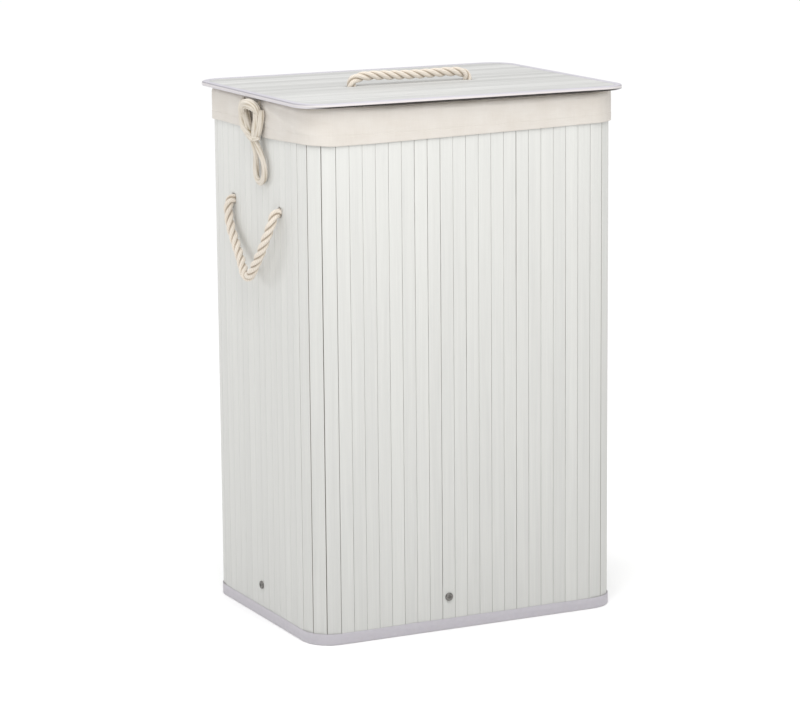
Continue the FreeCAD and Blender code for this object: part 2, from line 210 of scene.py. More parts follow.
@dataclass(frozen=True)
class Plank(Finish):
    """Planed softwood, left bare: long even grain lines and a dry, matt face."""

    grain: Grain = Grain.X
    ring_mm: float = 2.2

    def pattern(self, tree: bpy.types.NodeTree, shader: bpy.types.Node) -> None:
        """Growth rings drawn out along the plank.

        Args:
            tree: The material's node tree.
            shader: The surface node that the look goes into.
        """
        place = add(tree, "TexCoord")
        stretched = add(tree, "Mapping", None,
                        {"Vector": place.outputs["Object"], "Scale": self.grain.value})
        rings = add(tree, "TexNoise", None, {"Vector": stretched.outputs[0], "Scale": 1000 / self.ring_mm,
                                             "Detail": 4.0, "Distortion": 0.6})
        wood = add(tree, "Mix", {"data_type": "RGBA"},
                   {"Factor": rings.outputs["Fac"], "A": linear(self.shade), "B": linear(self.tone)})
        tree.links.new(wood.outputs["Result"], shader.inputs["Base Color"])
        bump = add(tree, "Bump", None,
                   {"Height": rings.outputs["Fac"], "Strength": 0.4, "Distance": 0.1 * MM})
        tree.links.new(bump.outputs[0], shader.inputs["Normal"])


@dataclass(frozen=True)
class Hardboard(Finish):
    """Pressed wood fibre: brown, flat and mottled with short fibres."""

    fibre_mm: float = 1.6

    def pattern(self, tree: bpy.types.NodeTree, shader: bpy.types.Node) -> None:
        """Short fibres pressed flat.

        Args:
            tree: The material's node tree.
            shader: The surface node that the look goes into.
        """
        place = add(tree, "TexCoord")
        fibres = add(tree, "TexNoise", None,
                     {"Vector": place.outputs["Object"], "Scale": 1000 / self.fibre_mm,
                      "Detail": 5.0, "Distortion": 1.5})
        board = add(tree, "Mix", {"data_type": "RGBA"},
                    {"Factor": fibres.outputs["Fac"], "A": linear(self.shade), "B": linear(self.tone)})
        tree.links.new(board.outputs["Result"], shader.inputs["Base Color"])
        bump = add(tree, "Bump", None,
                   {"Height": fibres.outputs["Fac"], "Strength": 0.3, "Distance": 0.08 * MM})
        tree.links.new(bump.outputs[0], shader.inputs["Normal"])


@dataclass(frozen=True)
class WovenCloth(Finish):
    """Plain woven cotton: crossing threads, thicker here and there, with a dull, dry face.

    The threads are drawn about twice as coarse as real ones, because real ones are too fine to show.
    """

    thread_mm: float = 1.2
    slub: float = 0.5
    relief_mm: float = 0.1
    # Colour of painted shade in the hollows of pleats and folds.
    hollow_shade: str = "#A8997F"

    def pattern(self, tree: bpy.types.NodeTree, shader: bpy.types.Node) -> None:
        """Warp and weft with slubs, a slow change of tone as in washed cloth, and painted shade in creases.

        Args:
            tree: The material's node tree.
            shader: The surface node that the look goes into.
        """
        cloth = add(tree, "Attribute", {"attribute_name": "cloth"})
        turns = 2 * math.pi * 1000 / self.thread_mm
        parts = add(tree, "SeparateXYZ", None, {0: cloth.outputs["Vector"]})
        warp = add(tree, "Math", {"operation": "MULTIPLY"}, {0: parts.outputs[0], 1: turns})
        warp = add(tree, "Math", {"operation": "SINE"}, {0: warp.outputs[0]})
        weft = add(tree, "Math", {"operation": "MULTIPLY"}, {0: parts.outputs[1], 1: turns})
        weft = add(tree, "Math", {"operation": "SINE"}, {0: weft.outputs[0]})
        weave = add(tree, "Math", {"operation": "MULTIPLY"}, {0: warp.outputs[0], 1: weft.outputs[0]})
        across = add(tree, "Mapping", None, {"Vector": cloth.outputs["Vector"],
                                             "Scale": (40.0, 1000 / self.thread_mm, 1.0)})
        along = add(tree, "Mapping", None, {"Vector": cloth.outputs["Vector"],
                                            "Scale": (1000 / self.thread_mm, 40.0, 1.0)})
        slubs = [add(tree, "TexNoise", None, {"Vector": way.outputs[0], "Scale": 1.0, "Detail": 2.0})
                 for way in (across, along)]
        uneven = add(tree, "Math", {"operation": "ADD"},
                     {0: slubs[0].outputs["Fac"], 1: slubs[1].outputs["Fac"]})
        height = add(tree, "Math", {"operation": "MULTIPLY_ADD"},
                     {0: uneven.outputs[0], 1: self.slub, 2: weave.outputs[0]})
        wash = add(tree, "TexNoise", None, {"Vector": cloth.outputs["Vector"], "Scale": 28.0, "Detail": 3.0})
        mixed = add(tree, "Math", {"operation": "MULTIPLY_ADD"},
                    {0: uneven.outputs[0], 1: 0.35, 2: wash.outputs["Fac"]})
        factor = add(tree, "MapRange", None, {"Value": mixed.outputs[0], "From Min": 0.55, "From Max": 1.15})
        tint = add(tree, "Mix", {"data_type": "RGBA"},
                   {"Factor": factor.outputs[0], "A": linear(self.shade), "B": linear(self.tone)})
        # Painted shade: the crease attribute darkens the hollows of pleats and folds.
        crease = add(tree, "Attribute", {"attribute_name": "crease"})
        tint = add(tree, "Mix", {"data_type": "RGBA"},
                   {"Factor": crease.outputs["Fac"], "A": tint.outputs["Result"], "B": linear(self.hollow_shade)})
        tree.links.new(tint.outputs["Result"], shader.inputs["Base Color"])
        bump = add(tree, "Bump", None, {"Height": height.outputs[0], "Strength": 0.35,
                                        "Distance": self.relief_mm * MM})
        tree.links.new(bump.outputs[0], shader.inputs["Normal"])
        shader.inputs["Sheen Weight"].default_value = 0.15
        shader.inputs["Sheen Roughness"].default_value = 0.6


@dataclass(frozen=True)
class WovenTape(Finish):
    """Woven polyester binding tape: close cross ribs, a cool lilac white, and a soft shine.

    The ribs are drawn at twice their real pitch so that they show. The fold's paler colour is a
    painted highlight, creases take painted shade, and a near-black step stands for a shadowed gap.
    """

    # Colour of the fold; where it is paler than the tape it is a painted highlight.
    fold: str = "#E9E6EA"
    hollow_shade: str = "#86828A"
    # Near-black painted shadow for the gap under the lid's edge.
    bare: str = "#1E150F"
    rib_mm: float = 1.4

    def pattern(self, tree: bpy.types.NodeTree, shader: bpy.types.Node) -> None:
        """Cross ribs, uneven dye, and painted light: a paler fold, darker creases and a dark gap.

        Args:
            tree: The material's node tree.
            shader: The surface node that the look goes into.
        """
        cloth = add(tree, "Attribute", {"attribute_name": "cloth"})
        fold = add(tree, "Attribute", {"attribute_name": "fold"})
        parts = add(tree, "SeparateXYZ", None, {0: cloth.outputs["Vector"]})
        ribs = add(tree, "Math", {"operation": "MULTIPLY"},
                   {0: parts.outputs[0], 1: 2 * math.pi * 1000 / self.rib_mm})
        ribs = add(tree, "Math", {"operation": "SINE"}, {0: ribs.outputs[0]})
        dye = add(tree, "TexNoise", None, {"Vector": cloth.outputs["Vector"], "Scale": 180.0, "Detail": 4.0})
        body = add(tree, "Mix", {"data_type": "RGBA"},
                   {"Factor": dye.outputs["Fac"], "A": linear(self.shade), "B": linear(self.tone)})
        # The fold's colour on the lid is a painted highlight.
        tint = add(tree, "Mix", {"data_type": "RGBA"},
                   {"Factor": fold.outputs["Fac"], "A": body.outputs["Result"], "B": linear(self.fold)})
        # Painted shade along the crease above the fold.
        crease = add(tree, "Attribute", {"attribute_name": "crease"})
        tint = add(tree, "Mix", {"data_type": "RGBA"},
                   {"Factor": crease.outputs["Fac"], "A": tint.outputs["Result"], "B": linear(self.hollow_shade)})
        # Painted shadow where the tape stops short of the lower edge.
        bare = add(tree, "Attribute", {"attribute_name": "bare"})
        tint = add(tree, "Mix", {"data_type": "RGBA"},
                   {"Factor": bare.outputs["Fac"], "A": tint.outputs["Result"], "B": linear(self.bare)})
        tree.links.new(tint.outputs["Result"], shader.inputs["Base Color"])
        height = add(tree, "Math", {"operation": "MULTIPLY_ADD"},
                     {0: dye.outputs["Fac"], 1: 0.8, 2: ribs.outputs[0]})
        bump = add(tree, "Bump", None, {"Height": height.outputs[0], "Strength": 0.3, "Distance": 0.08 * MM})
        tree.links.new(bump.outputs[0], shader.inputs["Normal"])
        shader.inputs["Sheen Weight"].default_value = 0.1


@dataclass(frozen=True)
class TwistedCotton(Finish):
    """Twisted cotton yarn: each strand shows its own yarns, laid nearly along the rope, and short
    loose fibres that make its edge soft. Cream, undyed and quite matt.
    """

    # Colour of painted shade in the grooves between the strands.
    hollow_shade: str = "#B0A18D"
    yarns: int = 7
    yarn_lay_mm: float = 30.0

    def pattern(self, tree: bpy.types.NodeTree, shader: bpy.types.Node) -> None:
        """Yarns round each strand and the fibres across them, with painted shade in the hollows.

        Args:
            tree: The material's node tree.
            shader: The surface node that the look goes into.
        """
        yarn = add(tree, "Attribute", {"attribute_name": "yarn"})
        parts = add(tree, "SeparateXYZ", None, {0: yarn.outputs["Vector"]})
        round_it = add(tree, "Math", {"operation": "MULTIPLY"}, {0: parts.outputs[1], 1: float(self.yarns)})
        turned = add(tree, "Math", {"operation": "MULTIPLY_ADD"},
                     {0: parts.outputs[0], 1: 2 * math.pi * 1000 * self.yarns / self.yarn_lay_mm,
                      2: round_it.outputs[0]})
        ridges = add(tree, "Math", {"operation": "SINE"}, {0: turned.outputs[0]})
        place = add(tree, "Mapping", None, {"Vector": yarn.outputs["Vector"], "Scale": (260.0, 3.0, 1.0)})
        fibres = add(tree, "TexNoise", None, {"Vector": place.outputs[0], "Scale": 1.0, "Detail": 5.0})
        height = add(tree, "Math", {"operation": "MULTIPLY_ADD"},
                     {0: ridges.outputs[0], 1: 0.35, 2: fibres.outputs["Fac"]})
        # The hollows between yarns take the darker tone as painted shade; the fibres add their own uneven
        # tone.
        factor = add(tree, "MapRange", None, {"Value": height.outputs[0], "From Min": 0.1, "From Max": 0.9})
        tint = add(tree, "Mix", {"data_type": "RGBA"},
                   {"Factor": factor.outputs[0], "A": linear(self.shade), "B": linear(self.tone)})
        # Painted shade in the grooves between the strands.
        groove = add(tree, "Attribute", {"attribute_name": "groove"})
        tint = add(tree, "Mix", {"data_type": "RGBA"},
                   {"Factor": groove.outputs["Fac"], "A": tint.outputs["Result"], "B": linear(self.hollow_shade)})
        tree.links.new(tint.outputs["Result"], shader.inputs["Base Color"])
        bump = add(tree, "Bump", None, {"Height": height.outputs[0], "Strength": 0.5, "Distance": 0.35 * MM})
        tree.links.new(bump.outputs[0], shader.inputs["Normal"])
        shader.inputs["Sheen Weight"].default_value = 0.2
        shader.inputs["Sheen Roughness"].default_value = 0.7


@dataclass(frozen=True)
class ZincedSteel(Finish):
    """Steel screw, pressed and zinc plated: a grey metal with a soft, slightly uneven shine."""

    def pattern(self, tree: bpy.types.NodeTree, shader: bpy.types.Node) -> None:
        """Cloudy plating.

        Args:
            tree: The material's node tree.
            shader: The surface node that the look goes into.
        """
        place = add(tree, "TexCoord")
        cloud = add(tree, "TexNoise", None,
                    {"Vector": place.outputs["Object"], "Scale": 900.0, "Detail": 3.0})
        metal = add(tree, "Mix", {"data_type": "RGBA"},
                    {"Factor": cloud.outputs["Fac"], "A": linear(self.shade), "B": linear(self.tone)})
        tree.links.new(metal.outputs["Result"], shader.inputs["Base Color"])
        gloss = add(tree, "MapRange", None, {"Value": cloud.outputs["Fac"], "To Min": self.roughness - 0.1,
                                             "To Max": self.roughness + 0.1})
        tree.links.new(gloss.outputs[0], shader.inputs["Roughness"])


@dataclass(frozen=True)
class StudioFloor(Finish):
    """Smooth white-painted studio floor, nearly even, with no shine."""

    def pattern(self, tree: bpy.types.NodeTree, shader: bpy.types.Node) -> None:
        """A very slight mottling of the paint.

        Args:
            tree: The material's node tree.
            shader: The surface node that the look goes into.
        """
        place = add(tree, "TexCoord")
        cloud = add(tree, "TexNoise", None, {"Vector": place.outputs["Object"], "Scale": 3.0})
        paint = add(tree, "Mix", {"data_type": "RGBA"},
                    {"Factor": cloud.outputs["Fac"], "A": linear(self.shade), "B": linear(self.tone)})
        tree.links.new(paint.outputs["Result"], shader.inputs["Base Color"])
        shader.inputs["Specular IOR Level"].default_value = 0.0


class Finishes:
    """Every finish of the hamper, each made once."""

    def __init__(self) -> None:
        """Build the materials."""
        # Walls: split bamboo under one thin white coat, a little grey, with a low satin gloss.
        self.walls = PaintedBamboo("painted_bamboo_walls", "#D8D8D4", "#C2C2BF", 0.5).material()
        # Lid: the same paint over finer fibres, so that fine darker streaks run through a clean white.
        # Its mix is darker than the walls': painted shade on the top, which the light from above would
        # otherwise leave too bright.
        self.lid = PaintedBamboo("painted_bamboo_lid", "#EBEBE9", "#848481", 0.45, fibre_mm=0.9).material()
        # Rails and battens: planed softwood left bare, warm and dry, one finish for each way of its grain.
        self.plank_x = Plank("bare_softwood_long", "#D0B287", "#B08C5C", 0.7, grain=Grain.X).material()
        self.plank_y = Plank("bare_softwood_short", "#D0B287", "#B08C5C", 0.7, grain=Grain.Y).material()
        # Base and lid board: pressed wood fibre, smooth and brown with short darker fibres.
        self.board = Hardboard("pressed_hardboard", "#9A7650", "#7A5A3A", 0.75).material()
        # Backing: plain woven cotton glued behind the slats, dull and off-white.
        self.backing = WovenCloth("backing_cotton", "#D9D6D0", "#C9C5BD", 0.9).material()
        # Lid lining: the same woven cotton, a little lighter.
        self.lining = WovenCloth("lid_lining_cotton", "#DDDAD4", "#CFCBC3", 0.9).material()
        # Liner: unbleached woven cotton, warm white and quite matt.
        self.liner = WovenCloth("unbleached_liner_cotton", "#D7D2CB", "#CEC7BE", 0.9).material()
        # Drawstring: the same cotton woven from a thicker and warmer thread, with painted shade in its
        # pleats.
        self.string = WovenCloth("drawstring_cotton", "#DDD6CB", "#D0C7B9", 0.9, thread_mm=0.9).material()
        # Wall tape: woven binding tape, a flat cool lilac, darker than the lid's tape as painted shade at
        # the foot of the walls.
        self.tape = WovenTape("lilac_binding_tape", "#BDBABF", "#B1ADB4", 0.6, fold="#BCB9BD").material()
        # Lid tape: the same ribbed weave; its pale warm fold over the edge is a painted highlight.
        self.lid_tape = WovenTape("lid_binding_tape", "#C6C4CB", "#BCB9C1", 0.55, fold="#D9D4D3").material()
        # Ropes: twisted cotton yarn, cream and matt, with painted shade in the hollows between its yarns and
        # strands.
        self.rope = TwistedCotton("cotton_rope", "#E6DDD1", "#D3C8B9", 0.9).material()
        # Screws: pressed steel with a zinc coat, grey with a soft and cloudy shine.
        self.steel = ZincedSteel("zinced_steel", "#8F8D8A", "#64615E", 0.38, metallic=1.0).material()
        # Floor: flat white paint, which takes soft shadows and no shine.
        self.floor = StudioFloor("white_studio_floor", "#FCFCFC", "#FAFAFA", 0.9).material()


# ---------------------------------------------------------------- meshes


class Shell:
    """Collects rings of points and faces with their attributes, and makes one mesh of them."""

    def __init__(self) -> None:
        """Start with nothing."""
        self.points: list[np.ndarray] = []
        self.faces: list[tuple[int, ...]] = []
        self.values: dict[str, list[np.ndarray]] = {}
        self.count = 0

    def grid(self, points: np.ndarray, around: bool, across: bool = False, caps: bool = False,
             **values: np.ndarray) -> None:
        """Add a grid of rows of points joined by quads.

        Args:
            points: Array of rows by columns by three.
            around: Whether each row closes on itself.
            across: Whether the last row joins the first.
            caps: Whether the first and last rows are closed with a face each.
            values: Attribute arrays of rows by columns, or rows by columns by three.
        """
        rows, columns = points.shape[:2]
        base = self.count
        self.points.append(points.reshape(-1, 3))
        for key, array in values.items():
            self.values.setdefault(key, []).append(array.reshape(rows * columns, -1))
        self.count += rows * columns
        for row in range(rows if across else rows - 1):
            below, above = base + row * columns, base + (row + 1) % rows * columns
            for column in range(columns if around else columns - 1):
                after = (column + 1) % columns
                self.faces.append((below + column, below + after, above + after, above + column))
        if caps:
            self.faces.append(tuple(range(base + columns - 1, base - 1, -1)))
            last = base + (rows - 1) * columns
            self.faces.append(tuple(range(last, last + columns)))

    def piece(self, name: str, material: bpy.types.Material, sharp: float = 50.0) -> bpy.types.Object:
        """Make the object.

        Args:
            name: Name of the piece.
            material: Its material.
            sharp: Angle in degrees above which an edge stays sharp.

        Returns:
            The new object, linked to the scene.
        """
        mesh = bpy.data.meshes.new(name)
        mesh.from_pydata(np.concatenate(self.points).tolist(), [], self.faces)
        mesh.polygons.foreach_set("use_smooth", [True] * len(mesh.polygons))
        for key, arrays in self.values.items():
            array = np.concatenate(arrays)
            kind, slot = ("FLOAT_VECTOR", "vector") if array.shape[1] == 3 else ("FLOAT", "value")
            mesh.attributes.new(key, kind, "POINT").data.foreach_set(slot, array.astype(np.float32).ravel())
        mesh.materials.append(material)
        mesh.set_sharp_from_angle(angle=math.radians(sharp))
        mesh.validate()
        made = bpy.data.objects.new(name, mesh)
        bpy.context.scene.collection.objects.link(made)
        return made


def rod(start: Point, end: Point, radius: float, sides: int = 64) -> bpy.types.Object:
    """Make a plain round cutter between two points.

    Args:
        start: Middle of its first end.
        end: Middle of its last end.
        radius: Radius of the cutter.
        sides: Number of its sides.

    Returns:
        The cutter, to be removed after use.
    """
    axis = (Vector(end) - Vector(start)).normalized()
    side = axis.orthogonal().normalized()
    other = axis.cross(side)
    turns = [2 * math.pi * k / sides for k in range(sides)]
    ring = np.array([(side * math.cos(t) + other * math.sin(t)) * radius for t in turns])
    shell = Shell()
    shell.grid(np.stack([ring + np.array(start), ring + np.array(end)]), around=True, caps=True)
    return shell.piece("cutter", bpy.data.materials[0])


def drill(target: bpy.types.Object, bores: Iterable[tuple[Point, Point, float]]) -> None:
    """Cut round holes through a piece.

    Args:
        target: Piece to cut.
        bores: Start, end and radius of each hole.
    """
    for start, end, radius in bores:
        cutter = rod(start, end, radius)
        cut = target.modifiers.new("bore", "BOOLEAN")
        cut.operation, cut.object, cut.solver = "DIFFERENCE", cutter, "EXACT"
        bpy.context.view_layer.update()
        whole = bpy.data.meshes.new_from_object(target.evaluated_get(bpy.context.evaluated_depsgraph_get()))
        target.modifiers.clear()
        old, target.data = target.data, whole
        name = old.name
        bpy.data.meshes.remove(old)
        whole.name = name
        bpy.data.objects.remove(cutter)


def smooth_line(route: Sequence[Point]) -> np.ndarray:
    """Read the points of the smooth spline that a route's points control.

    Args:
        route: The route's points.

    Returns:
        Points along the spline, evenly spaced.
    """
    curve = bpy.data.curves.new("route", "CURVE")
    curve.dimensions = "3D"
    spline = curve.splines.new("NURBS")
    spline.points.add(len(route) - 1)
    for point, place in zip(spline.points, route):
        point.co = (*place, 1.0)
    spline.order_u = 3
    spline.use_endpoint_u = True
    curve.resolution_u = 24
    holder = bpy.data.objects.new("route", curve)
    bpy.context.scene.collection.objects.link(holder)
    bpy.context.view_layer.update()
    read = bpy.data.meshes.new_from_object(holder.evaluated_get(bpy.context.evaluated_depsgraph_get()))
    line = np.array([tuple(v.co) for v in read.vertices])
    bpy.data.objects.remove(holder)
    bpy.data.curves.remove(curve)
    bpy.data.meshes.remove(read)
    return evenly(line, 1.2 * MM)


def evenly(line: np.ndarray, step: float) -> np.ndarray:
    """Space points evenly along a line.

    Args:
        line: Points along the line.
        step: Distance between the new points.

    Returns:
        The new points.
    """
    gone = np.concatenate([[0], np.cumsum(np.linalg.norm(np.diff(line, axis=0), axis=1))])
    at = np.linspace(0, gone[-1], max(8, int(gone[-1] / step)))
    return np.stack([np.interp(at, gone, line[:, k]) for k in range(3)], axis=1)


def length_of(line: np.ndarray) -> float:
    """Length of a line of points."""
    return float(np.linalg.norm(np.diff(line, axis=0), axis=1).sum())


def frames(line: np.ndarray) -> tuple[np.ndarray, np.ndarray, np.ndarray]:
    """Carry a frame along a line without twisting it.

    Args:
        line: Points along the line.

    Returns:
        Unit tangents, and two unit sides at right angles to them.
    """
    tangents = np.gradient(line, axis=0)
    tangents /= np.linalg.norm(tangents, axis=1)[:, None]
    seed = np.array([1.0, 0.2, 0.1]) if abs(tangents[0, 0]) < 0.8 else np.array([0.1, 1.0, 0.2])
    sides = np.zeros_like(line)
    for k, tangent in enumerate(tangents):
        side = seed - tangent * seed.dot(tangent)
        sides[k] = side / np.linalg.norm(side)
        seed = sides[k]
    return tangents, sides, np.cross(tangents, sides)


def tube(shell: Shell, line: np.ndarray, radius: Callable[[np.ndarray, np.ndarray], np.ndarray],
         sides: int, strand: float = 0.0, flat: float = 1.0, facing: np.ndarray | None = None,
         core: tuple[np.ndarray, float] | None = None) -> None:
    """Add a closed tube along a line.

    Args:
        shell: Shell that takes the tube.
        line: Points along its middle.
        radius: Radius for distances along it and angles round it.
        sides: Number of points round it.
        strand: Number that tells this strand's pattern from others.
        flat: Share of the radius that is left across the facing way.
        facing: Way that the flat side faces, or none for a round tube.
        core: Middle line and diameter of the rope that this strand is part of, if any.
    """
    _, first, second = frames(line)
    if facing is not None:
        tangents = np.gradient(line, axis=0)
        tangents /= np.linalg.norm(tangents, axis=1)[:, None]
        first = facing - tangents * (tangents @ facing)[:, None]
        first /= np.linalg.norm(first, axis=1)[:, None]
        second = np.cross(tangents, first)
    gone = np.concatenate([[0], np.cumsum(np.linalg.norm(np.diff(line, axis=0), axis=1))])
    turns = np.arange(sides) * 2 * math.pi / sides
    far, angle = np.meshgrid(gone, turns, indexing="ij")
    size = radius(far, angle)
    points = (line[:, None, :] + first[:, None, :] * (size * np.cos(angle) * flat)[..., None]
              + second[:, None, :] * (size * np.sin(angle))[..., None])
    yarn = np.stack([far, angle, np.full_like(far, strand)], axis=-1)
    cloth = np.stack([angle * float(size.mean()), far, np.full_like(far, strand)], axis=-1)
    # Where the radius dips below its mean, the hollow is marked for painted shade.
    mean = size.mean(axis=1, keepdims=True)
    crease = np.clip((mean - size) / (0.16 * mean), 0, 1)
    # Points near a rope's middle lie in the grooves between strands, marked for painted shade.
    groove = np.zeros_like(far)
    if core is not None:
        reach = np.linalg.norm(points - core[0][:, None, :], axis=2) / core[1]
        groove = np.clip((0.44 - reach) / 0.1, 0, 1)
    shell.grid(points, around=True, caps=True, yarn=yarn, cloth=cloth, groove=groove, crease=crease)


def twisted(shell: Shell, line: np.ndarray, diameter: float, lay: float, sides: int = 16) -> None:
    """Add a three-strand rope, laid right-handed, along a line.

    Args:
        shell: Shell that takes the strands.
        line: Points along the rope's middle.
        diameter: Diameter over the strands.
        lay: Length in which a strand goes once round.
        sides: Number of points round each strand.
    """
    strand_radius = 0.247 * diameter
    reach = diameter / 2 - strand_radius
    _, first, second = frames(line)
    gone = np.concatenate([[0], np.cumsum(np.linalg.norm(np.diff(line, axis=0), axis=1))])
    for strand in range(3):
        turn = 2 * math.pi * (gone / lay + strand / 3)
        middle = line + reach * (first * np.cos(turn)[:, None] + second * np.sin(turn)[:, None])
        tube(shell, middle, lambda far, angle: np.full_like(far, strand_radius), sides, strand=strand * 7.3,
             core=(line, diameter))


def declare(piece: bpy.types.Object, body: str, slot: str, *nodes: str) -> bpy.types.Object:
    """Let a finished piece ride on a body in place of its CAD nodes.

    Args:
        piece: The piece.
        body: Body that it moves with.
        slot: Material slot that its finish comes from; not used.
        nodes: CAD nodes that it stands for.

    Returns:
        The same piece.
    """
    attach(piece, body)
    if nodes:
        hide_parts(*nodes)
    log.info("%s rides on %s and stands for %s", piece.name, body, ", ".join(nodes) or "itself")
    return piece


# ---------------------------------------------------------------- walls


@dataclass
class WallLine:
    """Rounded rectangle where the slats meet their backing cloth."""

    half_x: float = 205.0 * MM
    half_y: float = 152.0 * MM
    radius: float = 32.84 * MM

    @property
    def runs(self) -> tuple[float, float]:
        """Straight lengths along X and along Y."""
        return 2 * (self.half_x - self.radius), 2 * (self.half_y - self.radius)

    @property
    def perimeter(self) -> float:
        """Length once round."""
        return 2 * sum(self.runs) + 2 * math.pi * self.radius

    def at(self, distance: np.ndarray) -> tuple[np.ndarray, np.ndarray]:
        """Points and outward normals at distances from the front wall's left end.

        Args:
            distance: Distances anticlockwise.

        Returns:
            Points and unit normals, each as an array of X and Y.
        """
        left = np.mod(np.atleast_1d(distance).astype(float), self.perimeter)
        points, normals = np.zeros((len(left), 2)), np.zeros((len(left), 2))
        todo = np.ones(len(left), bool)
        quarter = self.radius * math.pi / 2
        for side in range(4):
            run, out = self.runs[side % 2], (self.half_y, self.half_x)[side % 2]
            turn = np.clip((left - run) / self.radius, 0, math.pi / 2)
            local = np.stack([np.minimum(left, run) - run / 2 + self.radius * np.sin(turn),
                              self.radius * (1 - np.cos(turn)) - out], axis=1)
            normal = np.stack([np.sin(turn), -np.cos(turn)], axis=1)
            angle = side * math.pi / 2
            spin = np.array([[math.cos(angle), math.sin(angle)], [-math.sin(angle), math.cos(angle)]])
            here = todo & (left <= run + quarter + 1e-9)
            points[here], normals[here] = (local @ spin)[here], (normal @ spin)[here]
            todo &= ~here
            left = left - run - quarter
        return points, normals

    def ring(self, distance: np.ndarray, offset: np.ndarray | float,
             height: np.ndarray | float) -> np.ndarray:
        """Points beside the line, moved outwards by an offset and raised to a height.

        Args:
            distance: How far round the line each point is.
            offset: How far outside the line each point is.
            height: Level of each point.

        Returns:
            One point for each distance.
        """
        points, normals = self.at(distance)
        level = np.broadcast_to(height, len(points))
        aside = np.reshape(np.broadcast_to(offset, len(points)), (-1, 1))
        return np.column_stack([points + normals * aside, level])


def drift(rng: np.random.Generator, at: np.ndarray, wavelengths: Sequence[float]) -> np.ndarray:
    """Slow random change along a line, from about -1 to 1.

    Args:
        rng: Source of the phases.
        at: Distances along the line.
        wavelengths: Wavelengths that are added up.

    Returns:
        Values at the distances.
    """
    total = np.zeros_like(at, dtype=float)
    for wavelength in wavelengths:
        total += np.sin(2 * math.pi * (at / wavelength + rng.random()))
    return total / len(wavelengths)


def strip(shell: Shell, origin: np.ndarray, across: np.ndarray, out: np.ndarray, along: np.ndarray,
          left: np.ndarray, right: np.ndarray, rows: Callable[[np.ndarray], np.ndarray], thickness: float,
          rounding: float, tone: float, seed: float, fade: float = 0.0) -> None:
    """Add one bamboo strip with rounded outer edges.

    Args:
        shell: Shell that takes the strip.
        origin: Corner that distances are measured from.
        across: Unit way across the strip.
        out: Unit way out of its face.
        along: Unit way along it.
        left: Distance across of its left side, row by row.
        right: Distance across of its right side, row by row.
        rows: Distances along it for a row share, given distances across.
        thickness: Thickness of the strip.
        rounding: Radius of its outer edges.
        tone: Tone of its paint.
        seed: Number that tells its grain from others.
        fade: Change of tone from its first end to its last, as painted shade darker at the first end.
    """
    turns = np.radians([0, 25, 50, 75, 90])
    edge = [(0.0, 0.0, 1.0), (0.0, thickness * 0.45, 0.8)]
    edge += [(rounding * (1 - math.cos(t)), thickness - rounding * (1 - math.sin(t)),
              0.4 * (1 - t / 1.6) ** 3)
             for t in turns]
    crown = 0.04 * MM
    left_side = np.array([[left + e[0], np.full_like(left, e[1]), np.full_like(left, e[2])] for e in edge])
    right_side = np.array([[right - e[0], np.full_like(left, e[1]), np.full_like(left, e[2])]
                           for e in reversed(edge)])
    middle = np.array([[left + (right - left) * share, np.full_like(left, thickness + crown),
                        np.zeros_like(left)]
                       for share in (0.3, 0.7)])
    section = np.concatenate([left_side, middle, right_side]).transpose(2, 0, 1)
    share = np.linspace(0, 1, len(left))[:, None]
    far = rows(section[..., 0])
    points = (origin + across * section[..., 0:1] + out * section[..., 1:2] + along * far[..., None])
    grain = np.stack([section[..., 0], far, np.full_like(far, seed)], axis=-1)
    # Painted shade: the tone falls off towards the first end, so that the walls darken towards the floor.
    painted_shade_fall = fade * (np.broadcast_to(share, far.shape) - 0.5)
    shell.grid(points, around=True, caps=True, grain=grain, tone=tone + painted_shade_fall, depth=section[..., 2])


